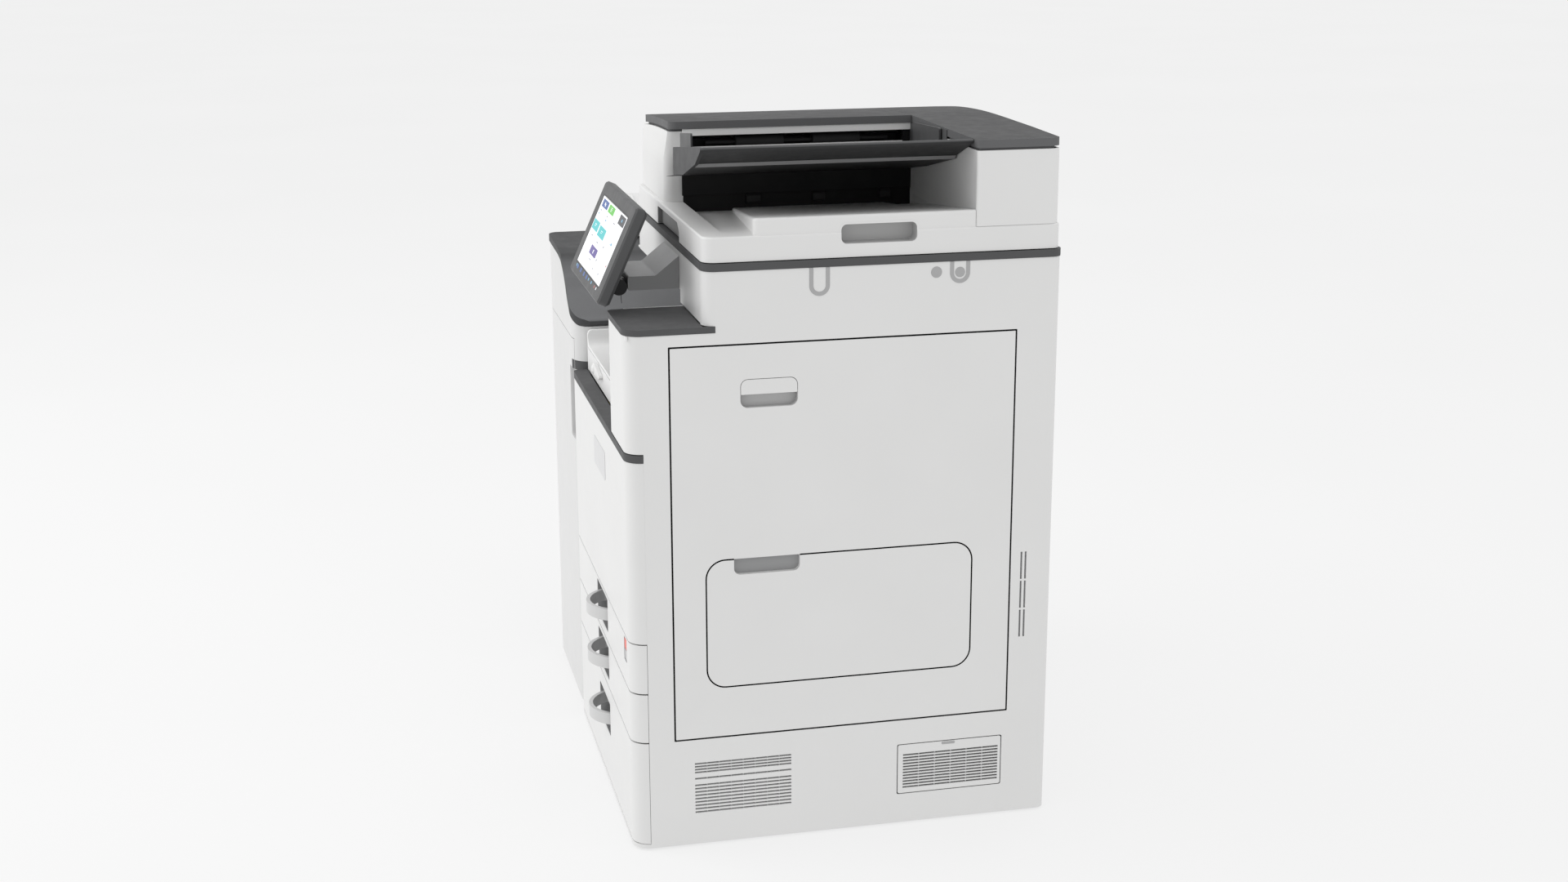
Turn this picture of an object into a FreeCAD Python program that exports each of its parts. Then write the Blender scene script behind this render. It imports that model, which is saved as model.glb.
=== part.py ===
import FreeCAD, Part
import math
import os

# Floor-standing A3 colour office photocopier: four-drawer style cabinet with
# three paper drawers, side door with bypass tray, in-body output space, tilting
# operation panel, flatbed scanner with document feeder, and a docked finisher.
# Units: millimetres. X to the copier's right, Y to the rear, Z up, floor at 0.
# Construction coordinates put X=0 on the right side, Y=0 on the front plane;
# SHIFT_X / SHIFT_Y move everything so that the origin is the centre of the
# base of the whole bounding box.

os.makedirs("parts", exist_ok=True)

# ------------------------------------------------------- driving dimensions
W = 587.0               # cabinet width
D = 685.0               # cabinet depth
SHIFT_X = 572.235         # centre of the bounding box, see above
SHIFT_Y = -329.6
T = 3.0                 # cover wall thickness
R_FRONT = 27.0          # front right vertical corner
R_REAR = 15.0           # rear vertical corners
GAP = 2.0               # door seam

Z_SKIRT = 9.5           # top of front skirt
TRAY_Z = [(265.4, 345.2), (183.7, 263.0), (11.5, 181.3)]   # drawer fronts
BIN_Z = [(270.0, 340.0), (188.0, 258.0), (40.0, 176.0)]    # drawer bins
HANDLE_Z = [311.0, 226.0, 125.5]                           # handle centres
RECESS_X = (-354.0, -240.0)
RECESS_H = 58.0
BOW_OUT = 27.0          # how far a drawer handle stands out
BOW_H = 20.0
BIN_X = (-556.0, -50.0)
BIN_Y = (34.0, 560.0)

Z_COVER = (347.2, 637.6)   # front cover
Z_STRIP = (638.0, 650.0)   # dark strip on top of the front cover
Z_COLUMN = (651.6, 833.0)
COLUMN_X = -155.0
UPPER_Y = 120.0            # front plane of the scanner housing
Z_SHELF = (833.3, 843.0)
Z_UPPER = (845.0, 925.5)
Z_TRIM = (926.0, 937.5)

DOOR_Y = (68.0, 613.0)     # side door
DOOR_Z = (183.0, 813.0)
DOOR_DEPTH = 38.0
BYP_Y = (121.0, 548.0)     # bypass tray
BYP_Z = (267.0, 474.0)
BYP_R = 29.0
GRIP_Y = (176.0, 265.5)    # side door grip
GRIP_Z = (714.5, 759.5)

ADF_BASE_Z = (939.0, 977.0)
ADF_TOP = (1096.0, 1108.0)
ADF_FRONT = 126.0
ADF_BACK = 682.0
FEED_X = -355.0            # right face of the feeder head
ADF_REAR_Y = 545.0         # front face of the rear housing

PANEL_AXIS = (24.0, 872.0)  # tilt axis, y z
PANEL_TILT = 24.4
PANEL_W, PANEL_H, PANEL_T = 309.0, 159.0, 20.0
PANEL_CX = -257.0

FIN_X = (-915.0, -590.0)
FIN_Y = (3.0, 620.0)

V = FreeCAD.Vector


# ------------------------------------------------------------------ helpers
def box(x0, x1, y0, y1, z0, z1):
    return Part.makeBox(x1 - x0, y1 - y0, z1 - z0, V(x0, y0, z0))


def to3(a, b, plane, off):
    if plane == "xy":
        return V(a, b, off)
    if plane == "xz":
        return V(a, off, b)
    return V(off, a, b)


def face2(pts, plane, off):
    """Planar face from a closed polygon; each vertex is (a, b) or (a, b, r)."""
    n = len(pts)
    segs = []
    for i in range(n):
        p = pts[i]
        a, b = p[0], p[1]
        r = p[2] if len(p) > 2 else 0.0
        if r <= 1e-6:
            segs.append(((a, b), None, (a, b)))
            continue
        q, s = pts[i - 1], pts[(i + 1) % n]
        d1 = (q[0] - a, q[1] - b)
        d2 = (s[0] - a, s[1] - b)
        l1 = math.hypot(*d1)
        l2 = math.hypot(*d2)
        d1 = (d1[0] / l1, d1[1] / l1)
        d2 = (d2[0] / l2, d2[1] / l2)
        cosang = max(-1.0, min(1.0, d1[0] * d2[0] + d1[1] * d2[1]))
        half = math.acos(cosang) / 2.0
        t = r / math.tan(half)
        A = (a + d1[0] * t, b + d1[1] * t)
        B = (a + d2[0] * t, b + d2[1] * t)
        bis = (d1[0] + d2[0], d1[1] + d2[1])
        lb = math.hypot(*bis)
        bis = (bis[0] / lb, bis[1] / lb)
        c = (a + bis[0] * r / math.sin(half), b + bis[1] * r / math.sin(half))
        M = (c[0] - bis[0] * r, c[1] - bis[1] * r)
        segs.append((A, M, B))
    edges = []
    for i in range(n):
        A, M, B = segs[i]
        if M is not None:
            edges.append(Part.Arc(to3(A[0], A[1], plane, off), to3(M[0], M[1], plane, off),
                                  to3(B[0], B[1], plane, off)).toShape())
        nxt = segs[(i + 1) % n][0]
        if math.hypot(nxt[0] - B[0], nxt[1] - B[1]) > 1e-6:
            edges.append(Part.LineSegment(to3(B[0], B[1], plane, off),
                                          to3(nxt[0], nxt[1], plane, off)).toShape())
    return Part.Face(Part.Wire(edges))


def prism(pts, plane, lo, hi):
    vec = {"xy": V(0, 0, hi - lo), "xz": V(0, hi - lo, 0), "yz": V(hi - lo, 0, 0)}[plane]
    return face2(pts, plane, lo).extrude(vec)


def rrect(a0, a1, b0, b1, r):
    if not isinstance(r, (list, tuple)):
        r = [r] * 4
    return [(a0, b0, r[0]), (a1, b0, r[1]), (a1, b1, r[2]), (a0, b1, r[3])]


def inset(a0, a1, b0, b1, r, t):
    if not isinstance(r, (list, tuple)):
        r = [r] * 4
    return rrect(a0 + t, a1 - t, b0 + t, b1 - t, [max(v - t, 0.0) for v in r])


def ring(a0, a1, b0, b1, r, t, plane, lo, hi):
    return prism(rrect(a0, a1, b0, b1, r), plane, lo, hi).cut(
        prism(inset(a0, a1, b0, b1, r, t), plane, lo - 1, hi + 1))


def cyl(r, axis, c, lo, hi):
    """Cylinder of radius r; c is the centre in the two other coordinates."""
    if axis == "x":
        return Part.makeCylinder(r, hi - lo, V(lo, c[0], c[1]), V(1, 0, 0))
    if axis == "y":
        return Part.makeCylinder(r, hi - lo, V(c[0], lo, c[1]), V(0, 1, 0))
    return Part.makeCylinder(r, hi - lo, V(c[0], c[1], lo), V(0, 0, 1))


def fuse(*shapes):
    s = shapes[0]
    if len(shapes) > 1:
        s = s.multiFuse(list(shapes[1:]))
    return s.removeSplitter()


def cut(s, *tools):
    for t in tools:
        s = s.cut(t)
    return s


NODES = {}


def out(name, shape):
    shape = shape.copy()
    shape.translate(V(SHIFT_X, SHIFT_Y, 0))
    NODES[name] = shape
    shape.exportStep("parts/%s.step" % name)


# ------------------------------------------------------- cabinet structure
frame_bits = [
    box(-583, -5, 30, 666, 28, 31),             # base plate
    box(-582, -580, 30, 666, 31, 640),          # left side plate
    box(-580, -5, 660, 662, 31, 640),           # rear plate
    box(-24, -5, 34, 62, 31, 640),              # front right post
    box(-24, -5, 620, 660, 31, 640),            # rear right post
    box(-580, -44, 40, 660, 184.2, 185.8),      # shelf under drawer 2
    box(-580, -44, 40, 660, 265.6, 267.2),      # shelf under drawer 1
    box(-44, -24, 44, 62, 184.2, 185.8),
    box(-44, -24, 44, 62, 265.6, 267.2),
    box(-580, -44, 40, 660, 349, 351),          # deck over the drawers
    box(-44, -24, 44, 62, 349, 351),
    box(-580, -160, 40, 660, 645, 648),         # deck over the engine
    box(-582, -560, 620, 662, 640, 845),        # rear left post to the scanner
    box(-580, -160, 640, 662, 640, 648),
    box(-24, -5, 620, 660, 640, 845),           # rear right post to the scanner
    box(-24, -5, 620, 662, 640, 648),
]
# floor holes for the stems of the levelling feet are in the base plate
FEET = [(-540.0, 75.0), (-50.0, 75.0), (-540.0, 635.0), (-50.0, 635.0)]
FIN_FEET = [(-885.0, 50.0), (-630.0, 50.0), (-885.0, 570.0), (-630.0, 570.0)]
main_frame = fuse(*frame_bits)
out("main_frame", main_frame)

feet = []
for (x, y) in FEET:
    feet.append(fuse(cyl(20, "z", (x, y), 0, 7), cyl(12, "z", (x, y), 7, 12),
                     cyl(5, "z", (x, y), 12, 28)))
for (x, y) in FIN_FEET:
    feet.append(fuse(cyl(16, "z", (x, y), 0, 5), cyl(5, "z", (x, y), 5, 11)))
out("levelling_feet", Part.makeCompound(feet))

# ------------------------------------------------------------ right cover
body = (-W, 0.0, 0.0, D)
body_r = [8.0, R_FRONT, R_REAR, 8.0]
right = [
    ring(*body, body_r, T, "xy", 3, Z_SHELF[0] - 0.3).common(box(-15, 1, 26, 690, 0, 900)),
    ring(*body, body_r, T, "xy", 3, Z_SKIRT).common(box(-600, 1, -1, 26, 0, 20)),
    ring(COLUMN_X, 0, 0, 200, [8, R_FRONT, 0, 0], T, "xy", *Z_COLUMN).common(
        box(-200, 1, -1, UPPER_Y, 600, 900)),
    box(COLUMN_X + T - 1, -42, T - 1, UPPER_Y - 4, Z_COLUMN[0], Z_COLUMN[0] + 2.5),
    box(-42, -T + 1, T + 22, 64, Z_COLUMN[0], Z_COLUMN[0] + 2.5),
    box(-42, -T - 22, T - 1, 26, Z_COLUMN[0], Z_COLUMN[0] + 2.5),
    ring(*body, body_r, T, "xy", Z_SHELF[0] - 0.3, 844).common(box(-15, 1, 138.6, 690, 0, 900)),
    ring(-W, 0, UPPER_Y, D, [20, 20, R_REAR, R_REAR], T, "xy", 843.4, Z_UPPER[1]).common(
        fuse(box(-22, 1, 100, 400, 800, 950), box(-15, 1, 400, 690, 800, 950))),
]
right_cover = fuse(*right)
tools = [
    prism(rrect(DOOR_Y[0] - GAP, DOOR_Y[1] + GAP, DOOR_Z[0] - GAP, DOOR_Z[1] + GAP, 1.5),
          "yz", -20, 5),
    prism(rrect(430.0, 607.0, 52.5, 139.5, 3), "yz", -20, 5),
]
VENT_Y = (98.0, 254.4)
vent_z = [56.0 + 5.75 * i for i in range(9)] + [113.4] + [124.0 + 4.9 * i for i in range(4)]
for z in vent_z:
    tools.append(box(-8, 5, VENT_Y[0], VENT_Y[1], z, z + 3.0))
for ys in (630.9, 637.9):
    for z0 in (307.0, 356.0, 405.0):
        tools.append(box(-8, 5, ys, ys + 3.2, z0, z0 + 46))
right_cover = cut(right_cover, *tools)
out("right_cover", right_cover)

filter_cover = prism(rrect(431.5, 605.5, 54, 138, 3), "yz", -T, 0)
filter_cover = cut(filter_cover, *[box(-5, 5, 440, 601, 62.5 + 5.1 * i, 65.5 + 5.1 * i) for i in range(12)])
out("filter_cover", filter_cover)

# ------------------------------------------------- left and rear covers
left_cover = fuse(
    ring(*body, body_r, T, "xy", Z_SKIRT + 1, 650).common(box(-590, -576, 26, 690, 0, 900)),
    box(-W, -W + T, 566, 676, 650, 844.5))
out("left_cover", left_cover)

rear_cover = box(-575.5, -15.5, D - T, D, 3, 844.5)
tools = [box(-540, -400, 670, 690, 420 + 9 * i, 424 + 9 * i) for i in range(9)]
tools += [box(-180, -60, 670, 690, 500 + 9 * i, 504 + 9 * i) for i in range(7)]
tools.append(box(-112, -68, 670, 690, 58, 92))
rear_cover = cut(rear_cover, *tools)
out("rear_cover", rear_cover)

inlet = cut(box(-111.5, -68.5, 668, 685.0, 58.5, 91.5),
            box(-103, -77, 674, 690, 66, 84))
inlet = fuse(inlet, box(-99, -97, 674, 682, 71, 79), box(-91, -89, 674, 682, 72, 78),
             box(-83, -81, 674, 682, 71, 79))
out("power_inlet", inlet)

# ------------------------------------------------------ rear electronics
board = [box(-556, -320, 664, 665.6, 300, 620)]
for (x, z, w, h, t) in ((-530, 560, 60, 40, 6), (-450, 540, 34, 34, 4), (-400, 470, 50, 90, 3),
                        (-530, 340, 30, 120, 8), (-480, 330, 90, 22, 9), (-370, 340, 30, 60, 10)):
    board.append(box(x, x + w, 665.6, 665.6 + t, z, z + h))
psu = fuse(box(-300, -130, 664, 680, 60, 240), box(-290, -240, 662.2, 664, 70, 110))
out("rear_electronics", Part.makeCompound([fuse(*board), psu]))

# ------------------------------------------------------ paper drawers
def tray(n):
    z0, z1 = TRAY_Z[n]
    hz = HANDLE_Z[n]
    r0, r1 = RECESS_X
    rz0, rz1 = hz - RECESS_H / 2, hz + RECESS_H / 2
    rz0, rz1 = max(rz0, z0 + 3.6), min(rz1, z1 - 3.6)
    front = ring(*body, body_r, T, "xy", z0, z1).common(box(-600, 1, -1, 25.4, 0, 900))
    # inner stiffening flanges and the handle pocket
    pocket = prism(rrect(r0 - 2.5, r1 + 2.5, rz0 - 2.5, rz1 + 2.5, 4), "xz", 1, 31)
    flange = fuse(box(-580, -30, T, 16, z0 + 0.0, z0 + 2.5), box(-580, -30, T, 16, z1 - 2.5, z1))
    front = fuse(front, pocket, flange)
    front = front.cut(prism(rrect(r0, r1, rz0, rz1, 2), "xz", -5, 28.5))
    if n == 0:
        front = front.cut(box(-66, -42, -1, 1.6, 303, 341))
    out("tray_%d_front" % (n + 1), front)

    # bow handle: D-shaped bar standing out from the pocket
    xm = (r0 + r1) / 2
    half = (r1 - r0) / 2
    yo = -BOW_OUT
    outer = Part.Wire([
        Part.Arc(V(r0 + 0.3, 12, 0), V(xm, yo, 0), V(r1 - 0.3, 12, 0)).toShape(),
        Part.LineSegment(V(r1 - 0.3, 12, 0), V(r1 - 7.3, 12, 0)).toShape(),
        Part.Arc(V(r1 - 7.3, 12, 0), V(xm, yo + 6.5, 0), V(r0 + 7.3, 12, 0)).toShape(),
        Part.LineSegment(V(r0 + 7.3, 12, 0), V(r0 + 0.3, 12, 0)).toShape(),
    ])
    bow = Part.Face(outer).extrude(V(0, 0, BOW_H))
    bow.translate(V(0, 0, hz - BOW_H / 2))
    feet_l = box(r0 + 0.3, r0 + 8.0, 11, 28.3, hz - BOW_H / 2, hz + BOW_H / 2)
    feet_r = box(r1 - 8.0, r1 - 0.3, 11, 28.3, hz - BOW_H / 2, hz + BOW_H / 2)
    out("tray_%d_handle" % (n + 1), fuse(bow, feet_l, feet_r))

    # bin: open-topped box behind the front
    b0, b1 = BIN_Z[n]
    bin_ = box(BIN_X[0], BIN_X[1], BIN_Y[0], BIN_Y[1], b0, b1).cut(
        box(BIN_X[0] + 2, BIN_X[1] - 2, BIN_Y[0] + 2, BIN_Y[1] - 2, b0 + 2, b1 + 1))
    links = [box(-540, -500, 16, BIN_Y[0], b0 + 4, b0 + 40), box(-100, -60, 16, BIN_Y[0], b0 + 4, b0 + 40),
             box(-540, -500, T, 16, b0 + 4, b0 + 40), box(-100, -60, T, 16, b0 + 4, b0 + 40)]
    out("tray_%d_bin" % (n + 1), fuse(bin_, *links))


for n in range(3):
    tray(n)

# ------------------------------------------------------------ front cover
fc = ring(*body, body_r, T, "xy", *Z_COVER).common(box(-600, 1, -1, 25.4, 0, 900))
fc = fuse(fc, box(-580, -30, T, 12, Z_COVER[0], Z_COVER[0] + 2.5),
          box(-578, -30, 12, 14.5, Z_COVER[0], Z_COVER[1] - 30),
          box(-580, -30, T, 22, Z_COVER[1] - 2.5, Z_COVER[1]))
out("front_cover", fc)
strip = prism(rrect(-W - 0.8, 0.8, -0.8, 200, [12, R_FRONT + 0.8, 0, 0]), "xy", *Z_STRIP).cut(
    box(-W - 5, 5, 25.4, 300, 600, 700)).cut(box(-W - 5, -8, 24.0, 300, 600, 700))
out("front_trim_strip", strip)

# ---------------------------------------------------------- engine inside
DRUM_X = [-480.0, -380.0, -280.0, -180.0]
DRUM_Z = 500.0
DRUM_R = 15.0
for i, nm in enumerate(("yellow", "magenta", "cyan", "black")):
    d = fuse(cyl(DRUM_R, "y", (DRUM_X[i], DRUM_Z), 90, 600), cyl(5, "y", (DRUM_X[i], DRUM_Z), 76, 614),
             cyl(12, "y", (DRUM_X[i], DRUM_Z), 78, 88))
    # drive dogs on the front flange
    for k in range(3):
        a = k * 2 * math.pi / 3
        d = d.fuse(cyl(1.6, "y", (DRUM_X[i] + 8 * math.cos(a), DRUM_Z + 8 * math.sin(a)), 74, 78))
    out("drum_%s" % nm, d.removeSplitter())

belt = ring(-506, -128, 515.6, 573.6, 28.9, 1.5, "xz", 100, 590)
belt_unit = [belt, cyl(27.2, "y", (-477, 544.6), 100, 590), cyl(27.2, "y", (-157, 544.6), 100, 590),
             box(-450, -184, 110, 580, 536, 553)]
out("transfer_belt_unit", Part.makeCompound([belt_unit[0], belt_unit[1], belt_unit[2], belt_unit[3]]))

out("laser_unit", fuse(prism(rrect(-520, -140, 90, 620, 12), "xy", 380, 455),
                       *[box(x - 6, x + 6, 110, 600, 455, 462) for x in DRUM_X]))

bott = []
for x in DRUM_X:
    bott.append(fuse(prism(rrect(x - 38, x + 38, 588, 634, 14), "xz", 60, 560),
                     prism(rrect(x - 30, x + 30, 594, 628, 8), "xz", 48, 60)))
out("toner_cartridges", Part.makeCompound(bott))

FUSER_X, FUSER_Z, FUSER_R = -100.0, 612.0, 14.0
fh = box(-142, -56, 130, 610, 590, 641)
fh = fh.cut(box(-136, -62, 134, 606, 595, 636))
fh = cut(fh, box(-104, -94, 150, 590, 580, 650),
         cyl(4.05, "y", (FUSER_X - 14.6, FUSER_Z), 120, 620), cyl(4.05, "y", (FUSER_X + 16.6, FUSER_Z), 120, 620))
out("fuser_housing", fh)
out("fuser_roller", fuse(cyl(14.0, "y", (FUSER_X - 14.6, FUSER_Z), 142, 598),
                         cyl(4.0, "y", (FUSER_X - 14.6, FUSER_Z), 126, 618)))
out("pressure_roller", fuse(cyl(16.0, "y", (FUSER_X + 16.6, FUSER_Z), 142, 598),
                            cyl(4.0, "y", (FUSER_X + 16.6, FUSER_Z), 126, 618)))

# ------------------------------------------------- in-body output space
liner = box(-W, -165, 26, 560, 651, 697).cut(box(-W + T, -165 - T, 26 + T, 560 - T, 640, 694))
# upright left end of the deck, coved into it
scoop = prism([(-W, 694), (-530, 694), (-530, 697), (-574, 697, 17), (-579, 722, 2), (-W, 722, 2)], "xz", 26, 560)
scoop = scoop.common(prism([(26, 690), (560, 690), (560, 722), (26, 722, 9)], "yz", -600, -500))
liner = fuse(liner, scoop, box(-584, -165, 557, 560, 697, 843), box(-168, -165, 26 + 0, 560, 697, 843))
liner = cut(liner, box(-170, -160, 150, 470, 704, 722), box(-W - 1, -168, 25, 27.6, 689, 691))
out("output_tray_liner", liner)

# ---------------------------------------------------------- shelf plate
shelf = prism([(-163, -0.8, 10), (0.8, -0.8, R_FRONT + 0.8), (0.8, 138, 0), (-T, 138), (-T, 119.6),
               (-163, 119.6, 0)], "xy", *Z_SHELF)
out("shelf_plate", shelf)

# ------------------------------------------------------ scanner housing
sc = ring(-W, 0, UPPER_Y, D, [20, 20, R_REAR, R_REAR], T, "xy", *Z_UPPER).common(
    box(-600, -22.3, 100, 690, 800, 950))
sc = fuse(sc, box(-583, -3.5, UPPER_Y + T - 1, 668, 845, 848).cut(box(-30, 0, 100, 145, 840, 850)),
          box(-583, -16, 668, 683, 845, 848),
          box(-560, -30, 172, 178, 848, 890), box(-560, -30, 646, 652, 848, 890))
sc = sc.cut(prism([(100, 866), (118, 866), (200, 844), (200, 840), (100, 840)], "yz", -600, -184).cut(box(-600, -184, 204, 700, 800, 900)))
bevel = prism([(UPPER_Y, 866), (UPPER_Y, 869), (UPPER_Y + 3, 869), (UPPER_Y + 3, 868.4), (208, 848), (208, 845), (198, 845)], "yz", -583.2, -184)
sc = fuse(sc, bevel, prism([(UPPER_Y, 845), (UPPER_Y, 867), (204, 847), (204, 845)], "yz", -184, -181))
out("scanner_casing", sc)

trim = prism(rrect(-W - 1.2, 1.2, UPPER_Y - 1.2, D + 1.2, [21, 21, 16, 16]), "xy", *Z_TRIM)
trim = trim.cut(prism(rrect(-W + 6, -6, UPPER_Y + 6, D - 6, 14), "xy", 920, 934))
# knuckles of the feeder's two rear hinges stand on the trim frame
LIFT_Y, LIFT_Z = 682.5, 941.0
KNUCKLES = [(-468.0, -444.0), (-142.0, -118.0)]
GLASS = (-521.0, -79.0, 230.0, 536.0)
trim = trim.cut(box(GLASS[0] + 6, GLASS[1] - 6, GLASS[2] + 6, GLASS[3] - 6, 920, 950))
trim = trim.cut(box(GLASS[0], GLASS[1], GLASS[2], GLASS[3], 935.5, 950))
trim = fuse(trim, ring(GLASS[0] - 4, GLASS[1] + 4, GLASS[2] - 4, GLASS[3] + 4, 2, 10, "xy", 931, 934.5).cut(
    box(GLASS[0] + 6, GLASS[1] - 6, GLASS[2] + 6, GLASS[3] - 6, 920, 950)))
for (k0, k1) in KNUCKLES:
    trim = fuse(trim, cyl(3.2, "x", (LIFT_Y, LIFT_Z), k0, k1), box(k0, k1, LIFT_Y - 3.2, LIFT_Y + 3.2, 935, LIFT_Z))
    trim = trim.cut(cyl(2.05, "x", (LIFT_Y, LIFT_Z), k0 - 1, k1 + 1))
out("scanner_trim_frame", trim)
out("platen_glass", box(GLASS[0] + 0.4, GLASS[1] - 0.4, GLASS[2] + 0.4, GLASS[3] - 0.4, 935.5, 937.5))

car = fuse(prism(rrect(-548, -508, 180, 644, 4), "xy", 908, 922), box(-536, -520, 200, 620, 922, 926))
out("scan_carriage", car)
out("mirror_carriage", prism([(-556, 893), (-520, 893), (-520, 896), (-540, 906), (-556, 906)], "xz", 182, 642))

# --------------------------------------------------------- side door
dy0, dy1 = DOOR_Y
dz0, dz1 = DOOR_Z
door = prism(rrect(dy0, dy1, dz0, dz1, 1.0), "yz", -DOOR_DEPTH, 0).cut(
    box(-DOOR_DEPTH + 2, -T, dy0 + 2.5, dy1 - 2.5, dz0 + 2.5, dz1 - 2.5))
# bypass pocket walls (the pocket runs up behind the outer skin)
pk = ring(112, 557, 258, 628, 6, 2.5, "yz", -DOOR_DEPTH + 2, -T)
door = fuse(door, pk, box(-34, -32, 114, 555, 260, 626))
door = door.cut(prism(rrect(BYP_Y[0] - 1.6, BYP_Y[1] + 1.6, BYP_Z[0] - 1.6, BYP_Z[1] + 1.6, BYP_R + 1.5),
                      "yz", -T - 1, 5))
door = door.cut(box(-60, -31, 170, 500, 272, 292))          # bypass feed slot
# grip pocket
gp = prism(rrect(GRIP_Y[0] - 2.5, GRIP_Y[1] + 2.5, GRIP_Z[0] - 2.5, GRIP_Z[1] + 2.5, 13), "yz", -30, -1)
door = fuse(door, gp).cut(prism(rrect(GRIP_Y[0], GRIP_Y[1], GRIP_Z[0], GRIP_Z[1], 12), "yz", -27.5, 5))
out("side_door", door)

paddle = prism(rrect(GRIP_Y[0] + 1.0, GRIP_Y[1] - 1.0, 735.5, GRIP_Z[1] - 1.0, [1, 1, 11, 11]), "yz", -T, 0)
paddle = fuse(paddle, box(-9, -T, GRIP_Y[0] + 8, GRIP_Y[1] - 8, 735.5, 738.5))
out("door_grip", paddle)

by0, by1 = BYP_Y
bz0, bz1 = BYP_Z
byp = prism(rrect(by0, by1, bz0, bz1, BYP_R), "yz", -11, 0)
hollow = box(-9, -T, 282, 523, bz0 + 22, bz1 + 5)
byp = byp.cut(hollow)
byp = byp.cut(box(-9, -T, 150, 270, 280, 444))
recess = [(164, 449.5, 10), (268.5, 449.5, 10), (268.5, 480), (164, 480)]
byp = byp.cut(prism(recess, "yz", -9.0, 5))
out("bypass_tray", byp)
ext = fuse(box(-8, -4, 285, 520, bz0 + 26, bz1 - 2), box(-8.5, -3.5, 340, 465, bz1 - 8, bz1 - 2))
out("bypass_extension", ext)
for nm, yy in (("front", 186.0), ("rear", 480.0)):
    g = fuse(box(-24, -11.3, yy, yy + 3, 300, 430),
             box(-13.3, -11.3, yy - (0 if nm == "front" else 22), yy + (25 if nm == "front" else 3), 310, 420))
    out("bypass_guide_%s" % nm, g)

# ----------------------------------------------------------- panel
ay, az = PANEL_AXIS
arm = prism([(38, 866, 2), (UPPER_Y - 0.3, 866), (UPPER_Y - 0.3, 918), (82, 888, 6), (38, 888, 4)],
            "yz", -325, -190)
arm = fuse(arm, cyl(12, "x", (ay, az), -290, -225), box(-290, -225, ay, 39, az - 6, az + 8))
arm = arm.cut(cyl(5.05, "x", (ay, az), -300, -215))
out("panel_arm", arm)


def tilt(s):
    s = s.copy()
    s.rotate(V(0, ay, az), V(1, 0, 0), -PANEL_TILT)
    return s


py0 = ay - 41.4
py1 = py0 + PANEL_T
pz = az + 52.6
px0, px1 = PANEL_CX - PANEL_W / 2, PANEL_CX + PANEL_W / 2
pz0, pz1 = pz - PANEL_H / 2, pz + PANEL_H / 2
SW, SH = 241.0, 116.0
hous = prism(rrect(px0, px1, pz0, pz1, 9), "xz", py0, py1)
front_edges = [e for e in hous.Edges if all(abs(v.Point.y - py0) < 1e-6 for v in e.Vertexes)]
hous = hous.makeChamfer(3.0, front_edges)
back_edges = [e for e in hous.Edges if all(abs(v.Point.y - py1) < 1e-6 for v in e.Vertexes)]
hous = hous.makeChamfer(5.0, back_edges)
hous = hous.cut(box(PANEL_CX - SW / 2 - 0.3, PANEL_CX + SW / 2 + 0.3, py0 - 1, py0 + 1.6,
                    pz - SH / 2 - 0.3, pz + SH / 2 + 0.3))
out("panel_housing", tilt(hous))
out("touch_screen", tilt(box(PANEL_CX - SW / 2, PANEL_CX + SW / 2, py0 + 0.3, py0 + 1.6, pz - SH / 2, pz + SH / 2)))
ph = fuse(cyl(13, "x", (ay, az), -325, -291), cyl(13, "x", (ay, az), -224, -190), cyl(5, "x", (ay, az), -325, -190),
          box(-325, -291, py1, ay, az - 8, az + 8), box(-224, -190, py1, ay, az - 8, az + 8),
          box(-330, -185, py1, py1 + 4, az - 22, az + 60))
out("panel_hinge", tilt(ph))

# ------------------------------------------------------- document feeder
ab = (-W + 1.0, -1.0, UPPER_Y + 0.5, ADF_BACK)
ab_r = [20, 20, 14, 14]
z0, z1 = ADF_BASE_Z
base = prism(rrect(*ab, ab_r), "xy", z0, z1)
top_edges = [e for e in base.Edges if all(abs(v.Point.z - z1) < 1e-6 for v in e.Vertexes)]
base = base.makeFillet(3.0, top_edges)
# output tray: a low floor behind the front rim and a raised sloping deck,
# both lowest at the feeder head so that delivered originals lie against it
RIM_Y = 158.0
LOW_L, LOW_X1, LOW_R = 959.0, -41.0, z1          # low floor, left height to right height
DECK_L, DECK_R, DECK_X1 = 963.9, 1003.0, -3.0    # raised deck
base = base.cut(prism([(FEED_X, LOW_L), (LOW_X1, LOW_R), (LOW_X1, z1 + 30), (FEED_X, z1 + 30)],
                      "xz", RIM_Y, ADF_REAR_Y))
deck = prism([(FEED_X, 240), (DECK_X1, 198, 8), (DECK_X1, ADF_REAR_Y - 0.6), (FEED_X, ADF_REAR_Y - 0.6)], "xy", LOW_L - 2, 1012)
deck = deck.common(prism([(FEED_X, LOW_L - 5), (DECK_X1, LOW_L - 5), (DECK_X1, DECK_R), (FEED_X, DECK_L)], "xz", 190, 560))
slope = (DECK_R - DECK_L) / (DECK_X1 - FEED_X)
soft = []
for e in deck.Edges:
    on_top = all(abs(v.Point.z - (DECK_L + (v.Point.x - FEED_X) * slope)) < 0.01 for v in e.Vertexes)
    ends = all(v.Point.x < FEED_X + 0.1 for v in e.Vertexes) or all(v.Point.y > ADF_REAR_Y - 1 for v in e.Vertexes)
    if on_top and not ends:
        soft.append(e)
deck = deck.makeFillet(3.5, soft)
deck = deck.cut(box(FEED_X - 1, -262, 496, ADF_REAR_Y, LOW_L - 10, 1012))
base = fuse(base, deck)
hollow = prism(inset(*ab, ab_r, T), "xy", z0 + 5, z1 - T)
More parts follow.
